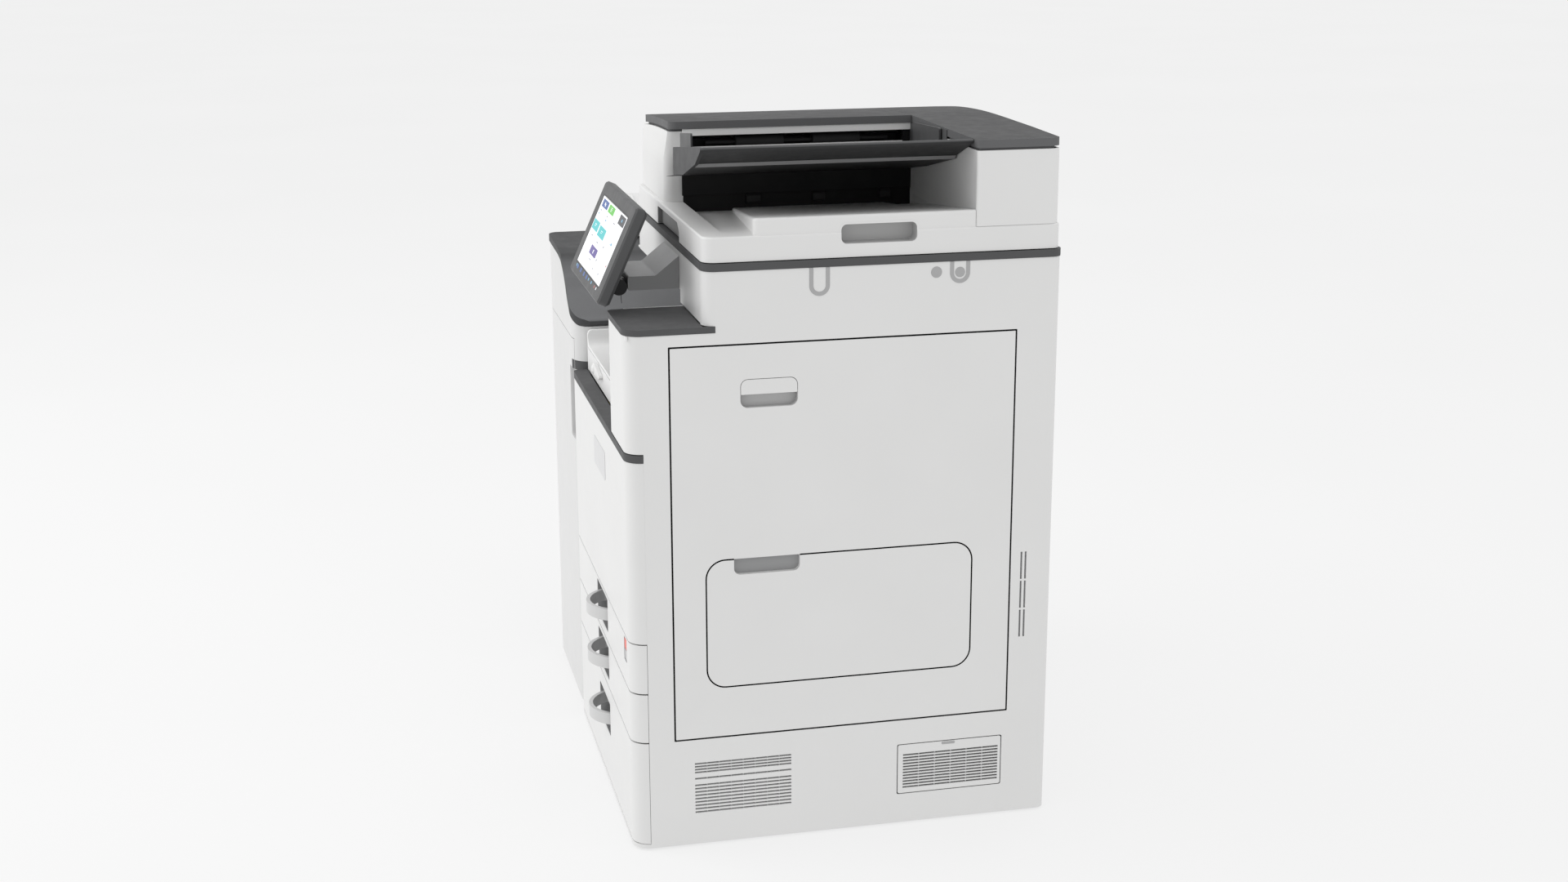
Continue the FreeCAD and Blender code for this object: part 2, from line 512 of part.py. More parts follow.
hollow = hollow.cut(prism([(FEED_X - T, LOW_L - 3.1), (FEED_X, LOW_L - 3.1), (LOW_X1 + 3, LOW_R - 3.0), (LOW_X1 + 3, z1 + 9),
                           (FEED_X - T, z1 + 9)], "xz", RIM_Y - T, ADF_REAR_Y + T))
base = base.cut(hollow)
under_deck = prism([(FEED_X + 4, 249), (DECK_X1 - 3.2, 205), (DECK_X1 - 3.2, 492.5), (FEED_X + 4, 492.5)], "xy", 948, 1012)
under_deck = under_deck.fuse(prism([(-258, 480), (DECK_X1 - 3.2, 480), (DECK_X1 - 3.2, 541), (-258, 541)], "xy", 948, 1012))
under_deck = under_deck.common(prism([(FEED_X, 948), (DECK_X1, 948), (DECK_X1, DECK_R - 3.4), (FEED_X, DECK_L - 3.4)], "xz", 190, 560))
base = base.cut(under_deck)
# side handle recess (through-wall pocket with its own walls)
HR = (333.0, 451.5, 959.2, 988.6)
pocket = prism(rrect(HR[0] - 2.5, HR[1] + 2.5, HR[2] - 2.5, HR[3] + 2.5, 11), "yz", -30, -2.5)
base = fuse(base, pocket).cut(prism(rrect(*HR, 9), "yz", -27.5, 5))
# front lift recess, open to the front and below
LR = (-383.0, -191.0)
lp = prism([(LR[0] - 2.5, z0 + 0.1), (LR[1] + 2.5, z0 + 0.1), (LR[1] + 2.5, 957, 8), (LR[1] - 14, 970.5, 10), (LR[0] - 2.5, 970.5, 4)],
           "xz", UPPER_Y + 2, UPPER_Y + 26)
base = fuse(base, lp)
base = base.cut(prism([(LR[0], z0 - 5), (LR[1], z0 - 5), (LR[1], 955, 8), (LR[1] - 16, 968, 10), (LR[0], 968, 4)],
                      "xz", UPPER_Y - 5, UPPER_Y + 23))
# rear hinge notches, ears and pins
for (k0, k1) in KNUCKLES:
    base = fuse(base, box(k0 - 2.6, k1 + 2.6, 675.5, 682, z0 + 0.5, 948.5))
    base = base.cut(box(k0 - 0.6, k1 + 0.6, 677.5, 700, z0 - 1, 946.5))
    base = fuse(base, cyl(3.2, "x", (LIFT_Y, LIFT_Z), k0 - 6, k0 - 0.6), cyl(3.2, "x", (LIFT_Y, LIFT_Z), k1 + 0.6, k1 + 6),
                cyl(2.0, "x", (LIFT_Y, LIFT_Z), k0 - 5, k1 + 5))
# pocket for the platen pad
base = base.cut(box(-531, -69, 224, 542, z0 - 1, z0 + 3))
out("adf_base", base)
out("platen_pad", box(-529, -71, 226, 540, 938.0, z0 + 3))

# the top covers fall away to the left in one long shallow curve
ARC_X, ARC_R = -330.0, 2520.0


def under_top(off):
    """Everything below the curved top surface lowered by off."""
    arc = cyl(ARC_R - off, "y", (ARC_X, ADF_TOP[1] - ARC_R), 60, 740).common(box(-600, ARC_X, 60, 740, 900, 1200))
    return arc.fuse(box(ARC_X, 10, 60, 740, 900, ADF_TOP[1] - off)).removeSplitter()


zt = 1092.0
L = [(-W + 1, ADF_FRONT + 2, 22), (FEED_X, ADF_FRONT + 2, 14), (FEED_X, ADF_REAR_Y), (-1.5, ADF_REAR_Y, 4),
     (-1.5, ADF_BACK - 1.5, 18), (-W + 1, ADF_BACK, 70)]
Li = [(-W + 4, ADF_FRONT + 5, 19), (FEED_X - 3, ADF_FRONT + 5, 11), (FEED_X - 3, ADF_REAR_Y + 3), (-4.5, ADF_REAR_Y + 3, 1),
      (-4.5, ADF_BACK - 4.5, 15), (-W + 4, ADF_BACK - 3, 67)]


def leaning(t):
    """Side profile of the housing: front and back lean in towards the top."""
    f, b = ADF_FRONT + 2 + t, ADF_BACK - t
    return prism([(f, 960), (f, 1046, 90), (f + 7.5, 1100), (b - 5, 1100), (b, 1050, 90), (b, 960)], "yz", -600, 10)


hs = prism(L, "xy", z1 + 0.2, zt).common(leaning(0)).cut(prism(Li, "xy", z1 + 3.2, zt + 5).common(leaning(3)))
hs = cut(hs, box(FEED_X - 5, FEED_X + 5, 160, 536, 1066, 1089), box(FEED_X - 5, FEED_X + 5, 160, 536, 980.6, 988))
hs = hs.cut(cyl(2.05, "y", (-349, 1057), ADF_REAR_Y - 1, ADF_REAR_Y + 4))   # document tray pivot
hs = hs.common(under_top(16.0))
out("adf_housing", hs)

FC_Y = (ADF_FRONT + 8.0, ADF_REAR_Y - 0.6)
T12, T195 = under_top(12.0), under_top(19.5)
feed_top = prism([(-W, FC_Y[0], 22), (FEED_X + 5, FC_Y[0] + 1.5, 14), (FEED_X + 5, FC_Y[1], 0), (-W, FC_Y[1], 0)],
                 "xy", 1050, 1120).common(under_top(0)).cut(T12)
feed_skirt = prism([(-W + 4.6, ADF_FRONT + 13.2, 18), (FEED_X - 3.6, ADF_FRONT + 13.2, 10), (FEED_X - 3.6, FC_Y[1] - 1), (-W + 4.6, FC_Y[1] - 1)],
                   "xy", 1050, 1120).common(T12).cut(T195)
feed_skirt = feed_skirt.cut(box(-W + 10, FEED_X - 9, ADF_FRONT + 18, FC_Y[1] - 6, 1050, 1120))
feed = fuse(feed_top, feed_skirt)
out("adf_feed_cover", feed)

rear_top = prism([(-W, ADF_REAR_Y + 0.6, 0), (0, ADF_REAR_Y - 0.6, 5), (0, ADF_BACK - 3.5, 17), (-150, ADF_BACK + 1.5), (-300, ADF_BACK + 3), (-W, ADF_BACK, 70)],
                 "xy", 1050, 1120).common(under_top(0)).cut(T12)
rear_skirt = prism([(-W + 4.6, ADF_REAR_Y + 3.6, 0), (-5.1, ADF_REAR_Y + 3.6, 0), (-5.1, ADF_BACK - 10.5, 12), (-W + 4.6, ADF_BACK - 9, 64)],
                   "xy", 1050, 1120).common(T12).cut(T195)
rear_skirt = rear_skirt.cut(prism([(-W + 10, ADF_REAR_Y + 9, 0), (-10, ADF_REAR_Y + 9, 0), (-10, ADF_BACK - 15, 9), (-W + 10, ADF_BACK - 14, 58)],
                                  "xy", 1050, 1120))
out("adf_rear_top", fuse(rear_top, rear_skirt))

out("feed_roller", fuse(cyl(11, "y", (-375, 1070), 250, 330), cyl(11, "y", (-375, 1070), 380, 460),
                        cyl(3.5, "y", (-375, 1070), 200, 510)))

# document tray: a hollow wedge, its top rising straight away from the feeder
DT_X = -349.0
DT_SLOPE = 0.1462


def dt_top(x):
    return 1060.0 + DT_SLOPE * (x - DT_X)


dt = prism([(DT_X, 1056), (-344, 1022, 4), (-249, 1037.5, 30), (-100, 1068.5), (-97, 1074), (-21, 1101, 2), (-15, 1107.2, 2),
            (-24, dt_top(-24), 2), (DT_X, 1060)], "xz", 128, 543)
side = prism([(-242, 1037, 4), (-159, 1049, 30), (-60, 1078, 20), (-21, 1101, 2), (-15, 1107.2, 2), (-40, 1105.8, 4),
              (-82, 1101, 10), (-242, 1081.5, 4)], "xz", 122.2, 128)
for y0, y1 in ((153, 266), (269, 402), (405, 538)):
    dt = dt.cut(prism([(-352, 1027), (-249, 1042, 10), (-104, 1072), (-99, 1078.5), (-62, 1091.5), (-62, dt_top(-62) - 3.6),
                       (-338, dt_top(-338) - 3.6), (-352, 1045)], "xz", y0, y1))
dt = dt.cut(box(DT_X - 10, -242, 120, 150, 1000, 1120))
dt = fuse(dt, side, cyl(3.0, "y", (DT_X, 1057), 150, 543), cyl(2.0, "y", (DT_X, 1057), 540, 547.6))
out("doc_tray", dt)


def doc_guide(x0, x1, za, zb, ya, yb, xb0, xb1, fa, fb):
    """Upright fence between ya and yb with a foot plate between fa and fb."""
    fence = prism([(x0, dt_top(x0) + 0.5), (x1, dt_top(x1) + 0.5), (x1, zb, 3), (x0, za, 3)], "xz", ya, yb)
    foot = prism([(xb0, dt_top(xb0) + 0.5), (xb1, dt_top(xb1) + 0.5), (xb1, dt_top(xb1) + 2.5), (xb0, dt_top(xb0) + 2.5)], "xz", fa, fb)
    return fuse(fence, foot)


out("doc_guide_front", doc_guide(-292, -202, 1097, 1107, 143, 146, -288, -206, 146, 176))
out("doc_guide_rear", doc_guide(-318, -176, 1099.7, 1106.8, 538, 541, -300, -200, 508, 538))

# ------------------------------------------------------------ finisher
fx0, fx1 = FIN_X
fy0, fy1 = FIN_Y
TOPL = [(-905, 842), (-767, 837), (-729, 832), (-695, 817), (-676, 801), (-658, 781), (-626, 758), (-601, 741), (-590.5, 737)]
SLAB_T = 12.0
top_poly = [(fx0 + 2, 842.0)] + TOPL
low_poly = [(x, z - SLAB_T - (2.5 if -700 < x < -600 else 0)) for (x, z) in top_poly]


def smooth_prism(top, bottom, y0, y1):
    pts = list(top) + list(reversed(bottom))
    out_ = []
    for i, (x, z) in enumerate(pts):
        q, s = pts[i - 1], pts[(i + 1) % len(pts)]
        l1 = math.hypot(q[0] - x, q[1] - z)
        l2 = math.hypot(s[0] - x, s[1] - z)
        d = ((q[0] - x) / l1 * (s[0] - x) / l2 + (q[1] - z) / l1 * (s[1] - z) / l2)
        ang = math.acos(max(-1, min(1, d)))
        if ang < math.radians(177) and min(l1, l2) > 9:
            t = 0.40 * min(l1, l2)
            r = min(60.0, t * math.tan(ang / 2))
            out_.append((x, z, r))
        else:
            out_.append((x, z, 0))
    return prism(out_, "xz", y0, y1)


slab = smooth_prism(top_poly, low_poly, fy0 - 2.5, fy1 + 1)
slab = slab.common(prism(rrect(fx0 + 1, fx1, fy0 - 2.5, fy1 + 1, [22, 38, 6, 6]), "xy", 600, 900))
out("finisher_top_plate", slab)

under = [(x, z - 0.3) for (x, z) in low_poly]
body_poly = [(fx0, 11.0), (fx1 - 0.5, 11.0)] + [(fx1 - 0.5, under[-1][1])] + list(reversed(under[1:-1])) + [(fx0, under[0][1])]
inner_poly = [(fx0 + T, 14.0), (fx1 - 0.5 - T, 14.0), (fx1 - 0.5 - T, under[-1][1] - 6)] + \
    [(x - 3.0, z - 5.0) for (x, z) in reversed(under[1:-1])] + [(fx0 + T, under[0][1] - T)]
fb = prism([(x, z) for (x, z) in body_poly], "xz", fy0, fy1)
plan = prism(rrect(fx0, fx1 - 0.5, fy0, fy1, [20, 36, 10, 10]), "xy", 0, 900)
hollow_plan = prism(rrect(fx0 + T, fx1 - 0.5 - T, fy0 + T, fy1 - T, [17, 33, 7, 7]), "xy", 0, 900)
fb = fb.common(plan)
fb = fb.cut(prism([(x, z) for (x, z) in inner_poly], "xz", fy0 + T, fy1 - T).common(hollow_plan))
FD_X = (fx0 - 1, -613.0)
FD_Z = (11.0 - 1, 700.0)
fb = fb.cut(box(FD_X[0], FD_X[1] + 1.2, fy0 - 1, fy0 + 22, FD_Z[0], FD_Z[1] + 1.2))
# closing wall behind the door edge and the grip pocket
fb = fuse(fb, box(fx0 + T, -613, fy0 + 22, fy0 + 24, 14, 702), box(-615, -613, fy0 + 22, fy0 + 24, 14, 702),
          box(-611.8, -609.8, fy0 + T + 2, fy0 + 24, 14, 702), box(-614, -609.8, fy0 + 21, fy0 + 24, 14, 702))
grip_cut = prism(rrect(-612.5, -598.5, 515, 645, 4), "xz", fy0 - 1, fy0 + 20)
grip_box = prism(rrect(-614.5, -596.5, 513, 647, 4), "xz", fy0 + 1, fy0 + 22)
fb = fuse(fb, grip_box.common(box(-611.8, -590, 0, 60, 500, 700))).cut(grip_cut).common(plan)
# paper slots: entry from the copier, exits to the two trays
fb = cut(fb, box(fx1 - 10, fx1 + 5, 150, 480, 672, 690), box(fx0 - 5, fx0 + 10, 130, 500, 640, 664),
         box(fx0 - 5, fx0 + 10, 130, 500, 800, 818))
# rails of the shift tray on the left side
fb = fuse(fb, box(fx0 - 5.5, fx0, 118, 124, 180, 620), box(fx0 - 5.5, fx0, 506, 512, 180, 620))
low = slab.copy()
low.translate(V(0, 0, -0.4))
fb = fb.cut(low).cut(slab)
# docking blocks against the copier's left cover
fb = fuse(fb, box(fx1 - 0.5, -W, 200, 240, 60, 100), box(fx1 - 0.5, -W, 440, 480, 60, 100))
out("finisher_body", fb)

fd = box(FIN_X[0], FD_X[1], fy0, fy0 + 21, FD_Z[0] + 2.5, FD_Z[1])
fd = fd.common(prism(rrect(fx0, 0, fy0, fy0 + 60, [20, 0, 0, 0]), "xy", 0, 900))
fd = fd.cut(box(fx0 + 20, FD_X[1] - 8, fy0 + T, fy0 + 30, FD_Z[0] + 6, FD_Z[1] - 3))
fd = fd.cut(box(fx0 + T, fx0 + 21, fy0 + 14, fy0 + 30, FD_Z[0] + 6, FD_Z[1] - 3))
# finger notch in the free edge of the door, with a rim round it
notch = prism(rrect(-656, -600, 515, 645, [6, 0, 0, 6]), "xz", fy0 - 5, fy0 + 30)
rim = prism(rrect(-659, -613, 512, 648, [8, 0, 0, 8]), "xz", fy0 + 0.5, fy0 + 21)
fd = fuse(fd, rim).cut(notch).common(plan)
out("finisher_door", fd)

proof = prism([(-824, 843), (-985, 893), (-985, 900), (-822, 849)], "xz", 132, 528)
proof = fuse(proof, prism([(-824, 843), (-985, 893), (-985, 906), (-824, 853)], "xz", 128, 132),
             prism([(-824, 843), (-985, 893), (-985, 906), (-824, 853)], "xz", 528, 532),
             box(-870, -826, 134, 526, 843 - 0.6, 849))
proof = proof.cut(box(-1000, -800, 80, 580, 800, 842.2))
out("proof_tray", proof)

st = prism([(-923, 590, 2), (-1145, 640, 2), (-1146, 648, 2), (-923, 600, 2)], "xz", 135, 495)
st = fuse(st, box(-929, -922, 100, 530, 560, 610), box(-927, -922, 100, 530, 540, 560))
out("shift_tray", st)

# ------------------------------------------------------------- summary
bb = FreeCAD.BoundBox()
for nm, s in NODES.items():
    bb.add(s.BoundBox)
bad = []
for nm, s in NODES.items():
    sol = s.Solids
    vol = sum(q.Volume for q in sol)
    if not s.isValid() or not sol or any(q.Volume <= 0 for q in sol):
        bad.append(nm)
    print("%-24s solids=%d vol=%.0f cm3 box=(%.1f %.1f %.1f)-(%.1f %.1f %.1f)" % (
        nm, len(sol), vol / 1000.0, s.BoundBox.XMin, s.BoundBox.YMin, s.BoundBox.ZMin,
        s.BoundBox.XMax, s.BoundBox.YMax, s.BoundBox.ZMax))
print("nodes:", len(NODES), "bad:", bad)
print("bounding box: %.2f..%.2f  %.2f..%.2f  %.2f..%.2f" % (bb.XMin, bb.XMax, bb.YMin, bb.YMax, bb.ZMin, bb.ZMax))
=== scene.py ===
import bpy, bmesh, math, random
from mathutils import Vector, Matrix


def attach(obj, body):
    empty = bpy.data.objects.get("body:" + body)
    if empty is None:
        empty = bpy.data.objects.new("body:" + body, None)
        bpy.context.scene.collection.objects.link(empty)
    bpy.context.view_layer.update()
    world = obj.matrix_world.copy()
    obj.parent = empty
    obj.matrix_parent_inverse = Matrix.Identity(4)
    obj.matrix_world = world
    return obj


# Looks of a floor-standing office photocopier, built round its CAD frame.
# Lengths in the helpers are millimetres in the CAD source's construction
# coordinates (X=0 on the right side, Y=0 on the front plane), moved to the
# row frame by SX and SY.
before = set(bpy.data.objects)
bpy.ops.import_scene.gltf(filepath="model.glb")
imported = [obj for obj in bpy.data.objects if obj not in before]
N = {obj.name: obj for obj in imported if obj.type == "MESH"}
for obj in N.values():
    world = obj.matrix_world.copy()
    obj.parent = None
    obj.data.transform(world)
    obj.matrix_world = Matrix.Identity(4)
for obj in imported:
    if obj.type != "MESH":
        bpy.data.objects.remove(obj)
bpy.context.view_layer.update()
SX, SY = 572.235, -329.6


# ------------------------------------------------------------- mesh helpers
def P(x, y, z):
    return Vector(((x + SX) / 1000.0, (y + SY) / 1000.0, z / 1000.0))


def to3(a, b, plane, off):
    if plane == "xy":
        return (a, b, off)
    if plane == "xz":
        return (a, off, b)
    return (off, a, b)


def rr(a0, a1, b0, b1, r, seg=7):
    """Rounded rectangle as a closed list of points; r is one radius or four."""
    if not isinstance(r, (list, tuple)):
        r = [r] * 4
    out = []
    for (cx, cy, rad, s) in ((a0, b0, r[0], 180), (a1, b0, r[1], 270), (a1, b1, r[2], 0), (a0, b1, r[3], 90)):
        sx = 1 if cx == a0 else -1
        sy = 1 if cy == b0 else -1
        n = seg if rad > 0.01 else 1
        for i in range(n + 1 if rad > 0.01 else 1):
            t = math.radians(s + 90.0 * i / max(n, 1))
            out.append((cx + sx * rad + rad * math.cos(t) if rad > 0.01 else cx,
                        cy + sy * rad + rad * math.sin(t) if rad > 0.01 else cy))
    return out


def finish_mesh(name, bm, mat, body, bevel=0.0, seg=2, smooth=32.0, tf=None):
    if tf is not None:
        bmesh.ops.transform(bm, matrix=tf, verts=bm.verts)
    bmesh.ops.remove_doubles(bm, verts=bm.verts, dist=1e-6)
    bmesh.ops.recalc_face_normals(bm, faces=bm.faces)
    me = bpy.data.meshes.new(name)
    bm.to_mesh(me)
    bm.free()
    for p in me.polygons:
        p.use_smooth = True
    me.set_sharp_from_angle(angle=math.radians(smooth))
    me.materials.append(mat)
    ob = bpy.data.objects.new(name, me)
    bpy.context.scene.collection.objects.link(ob)
    if bevel > 0:
        m = ob.modifiers.new("edge", "BEVEL")
        m.width = bevel / 1000.0
        m.segments = seg
        m.limit_method = "ANGLE"
        m.angle_limit = math.radians(50)
        m.harden_normals = False
    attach(ob, body)
    return ob


def add_prism(bm, pts, plane, lo, hi):
    n = len(pts)
    a = [bm.verts.new(P(*to3(p[0], p[1], plane, lo))) for p in pts]
    b = [bm.verts.new(P(*to3(p[0], p[1], plane, hi))) for p in pts]
    bm.faces.new(a[::-1])
    bm.faces.new(b)
    for i in range(n):
        j = (i + 1) % n
        bm.faces.new((a[i], a[j], b[j], b[i]))


def add_box(bm, x0, x1, y0, y1, z0, z1):
    add_prism(bm, [(x0, y0), (x1, y0), (x1, y1), (x0, y1)], "xy", z0, z1)


def add_band(bm, inner, outer, plane, lo, hi, closed=True):
    """Solid ribbon between two polylines with equal counts."""
    n = len(inner)
    v = [[bm.verts.new(P(*to3(p[0], p[1], plane, o))) for p in line] for line in (inner, outer) for o in (lo, hi)]
    il, ih, ol, oh = v
    last = n if closed else n - 1
    for i in range(last):
        j = (i + 1) % n
        bm.faces.new((il[i], il[j], ol[j], ol[i]))
        bm.faces.new((ih[i], oh[i], oh[j], ih[j]))
        bm.faces.new((il[i], ih[i], ih[j], il[j]))
        bm.faces.new((ol[i], ol[j], oh[j], oh[i]))
    if not closed:
        bm.faces.new((il[0], ol[0], oh[0], ih[0]))
        bm.faces.new((il[-1], ih[-1], oh[-1], ol[-1]))


def add_lathe(bm, prof, axis, c, seg=32):
    """prof: (radius, position along axis), first and last may have radius 0."""
    rings = []
    for (r, t) in prof:
        ring = []
        for i in range(seg if r > 1e-6 else 1):
            an = 2 * math.pi * i / seg
            u, w = r * math.cos(an), r * math.sin(an)
            if axis == "x":
                q = (t, c[0] + u, c[1] + w)
            elif axis == "y":
                q = (c[0] + u, t, c[1] + w)
            else:
                q = (c[0] + u, c[1] + w, t)
            ring.append(bm.verts.new(P(*q)))
        rings.append(ring)
    for a, b in zip(rings, rings[1:]):
        if len(a) == 1 and len(b) == 1:
            continue
        for i in range(seg):
            j = (i + 1) % seg
            if len(a) == 1:
                bm.faces.new((a[0], b[i], b[j]))
            elif len(b) == 1:
                bm.faces.new((a[i], a[j], b[0]))
            else:
                bm.faces.new((a[i], a[j], b[j], b[i]))


def prism(name, pts, plane, lo, hi, mat, body, bevel=0.3, tf=None, seg=2):
    bm = bmesh.new()
    add_prism(bm, pts, plane, lo, hi)
    return finish_mesh(name, bm, mat, body, bevel, seg, tf=tf)


def band(name, inner, outer, plane, lo, hi, mat, body, closed=True, bevel=0.0, tf=None):
    bm = bmesh.new()
    add_band(bm, inner, outer, plane, lo, hi, closed)
    return finish_mesh(name, bm, mat, body, bevel, tf=tf)


def boxes(name, items, mat, body, bevel=0.3, tf=None, seg=2):
    bm = bmesh.new()
    for it in items:
        add_box(bm, *it)
    return finish_mesh(name, bm, mat, body, bevel, seg, tf=tf)


def lathe(name, prof, axis, c, mat, body, seg=32, bevel=0.0, tf=None):
    bm = bmesh.new()
    add_lathe(bm, prof, axis, c, seg)
    return finish_mesh(name, bm, mat, body, bevel, tf=tf)


def lathes(name, items, mat, body, seg=24, tf=None):
    bm = bmesh.new()
    for (prof, axis, c) in items:
        add_lathe(bm, prof, axis, c, seg)
    return finish_mesh(name, bm, mat, body, 0.0, tf=tf)


def arc(cx, cy, r, a0, a1, n=8):
    return [(cx + r * math.cos(math.radians(a0 + (a1 - a0) * i / n)),
             cy + r * math.sin(math.radians(a0 + (a1 - a0) * i / n))) for i in range(n + 1)]


# ---------------------------------------------------------------- materials
def nodes_of(name):
    m = bpy.data.materials.new(name)
    m.use_nodes = True
    nt = m.node_tree
    nt.nodes.clear()
    o = nt.nodes.new("ShaderNodeOutputMaterial")
    b = nt.nodes.new("ShaderNodeBsdfPrincipled")
    nt.links.new(b.outputs[0], o.inputs[0])
    tc = nt.nodes.new("ShaderNodeTexCoord")
    return m, nt, b, tc


def noise(nt, vec, scale, detail=2.0, rough=0.5, dist=0.0):
    n = nt.nodes.new("ShaderNodeTexNoise")
    n.inputs["Scale"].default_value = scale
    n.inputs["Detail"].default_value = detail
    n.inputs["Roughness"].default_value = rough
    n.inputs["Distortion"].default_value = dist
    nt.links.new(vec, n.inputs["Vector"])
    return n.outputs["Fac"]


def ramp(nt, fac, lo, hi, c0, c1):
    r = nt.nodes.new("ShaderNodeValToRGB")
    r.color_ramp.elements[0].position = lo
    r.color_ramp.elements[1].position = hi
    r.color_ramp.elements[0].color = (*c0, 1)
    r.color_ramp.elements[1].color = (*c1, 1)
    nt.links.new(fac, r.inputs[0])
    return r.outputs[0]


def maprange(nt, fac, a, b, c, d):
    m = nt.nodes.new("ShaderNodeMapRange")
    for i, v in enumerate((a, b, c, d)):
        m.inputs[i + 1].default_value = v
    nt.links.new(fac, m.inputs[0])
    return m.outputs[0]


def bump(nt, height, dist, strength=1.0, prev=None):
    b = nt.nodes.new("ShaderNodeBump")
    b.inputs["Strength"].default_value = strength
    b.inputs["Distance"].default_value = dist
    nt.links.new(height, b.inputs["Height"])
    if prev is not None:
        nt.links.new(prev, b.inputs["Normal"])
    return b.outputs[0]


def scale_rgb(c, k):
    return tuple(max(0.0, min(1.0, v * k)) for v in c)


def plastic(name, rgb, rough=0.42, grain=1500.0, depth=0.00003, var=0.03, rvar=0.06, spec=0.45,
            coat=0.0, specks=0.0, wavy=0.0, em=0.0):
    """Moulded plastic: spark-eroded grain, slow tone drift and uneven sheen."""
    m, nt, b, tc = nodes_of(name)
    v = tc.outputs["Object"]
    slow = noise(nt, v, 5.0, 3.0, 0.55)
    col = ramp(nt, slow, 0.3, 0.7, scale_rgb(rgb, 1 - var), scale_rgb(rgb, 1 + var))
    if specks > 0:
        sp = noise(nt, v, 900.0, 1.0, 0.5)
        dark = ramp(nt, sp, 0.62, 0.72, (1, 1, 1), scale_rgb((1, 1, 1), 1 - specks))
        mx = nt.nodes.new("ShaderNodeMix")
        mx.data_type = "RGBA"
        mx.blend_type = "MULTIPLY"
        mx.inputs[0].default_value = 1.0
        nt.links.new(col, mx.inputs[6])
        nt.links.new(dark, mx.inputs[7])
        col = mx.outputs[2]
    nt.links.new(col, b.inputs["Base Color"])
    rf = noise(nt, v, 38.0, 4.0, 0.6)
    nt.links.new(maprange(nt, rf, 0.3, 0.7, rough - rvar, rough + rvar), b.inputs["Roughness"])
    g = noise(nt, v, grain, 2.0, 0.6)
    nrm = bump(nt, g, depth, 0.8)
    if wavy > 0:
        nrm = bump(nt, noise(nt, v, 9.0, 1.0, 0.4), wavy, 0.6, nrm)
    nt.links.new(nrm, b.inputs["Normal"])
    b.inputs["Specular IOR Level"].default_value = spec
    b.inputs["Coat Weight"].default_value = coat
    b.inputs["Coat Roughness"].default_value = 0.12
    if em > 0:
        nt.links.new(col, b.inputs["Emission Color"])
        b.inputs["Emission Strength"].default_value = em
    return m


def metal(name, rgb, rough=0.35, kind="zinc"):
    m, nt, b, tc = nodes_of(name)
    v = tc.outputs["Object"]
    if kind == "zinc":
        vo = nt.nodes.new("ShaderNodeTexVoronoi")
        vo.inputs["Scale"].default_value = 90.0
        nt.links.new(v, vo.inputs["Vector"])
        base = ramp(nt, vo.outputs["Color"], 0.1, 0.9, scale_rgb(rgb, 0.86), scale_rgb(rgb, 1.08))
        nt.links.new(maprange(nt, noise(nt, v, 30, 3), 0.3, 0.7, rough - 0.08, rough + 0.12), b.inputs["Roughness"])
        nt.links.new(bump(nt, noise(nt, v, 700, 2), 0.00001, 0.6), b.inputs["Normal"])
    else:
        mp = nt.nodes.new("ShaderNodeMapping")
        mp.inputs["Scale"].default_value = (900, 6, 900) if kind == "brush_y" else (6, 900, 900)
        nt.links.new(v, mp.inputs["Vector"])
        st = noise(nt, mp.outputs[0], 1.0, 3.0, 0.6)
        base = ramp(nt, st, 0.25, 0.75, scale_rgb(rgb, 0.9), scale_rgb(rgb, 1.08))
        nt.links.new(maprange(nt, st, 0.3, 0.7, rough - 0.06, rough + 0.1), b.inputs["Roughness"])
        nt.links.new(bump(nt, st, 0.000012, 0.5), b.inputs["Normal"])
    nt.links.new(base, b.inputs["Base Color"])
    b.inputs["Metallic"].default_value = 0.9
    return m


def glassy(name, rgb, rough=0.03, alpha=0.35):
    m, nt, b, tc = nodes_of(name)
    v = tc.outputs["Object"]
    nt.links.new(ramp(nt, noise(nt, v, 3.0, 2.0), 0.3, 0.7, scale_rgb(rgb, 0.96), scale_rgb(rgb, 1.03)), b.inputs["Base Color"])
    nt.links.new(maprange(nt, noise(nt, v, 22, 4), 0.35, 0.75, rough, rough + 0.05), b.inputs["Roughness"])
    b.inputs["Alpha"].default_value = alpha
    b.inputs["IOR"].default_value = 1.5
    b.inputs["Specular IOR Level"].default_value = 0.6
    return m


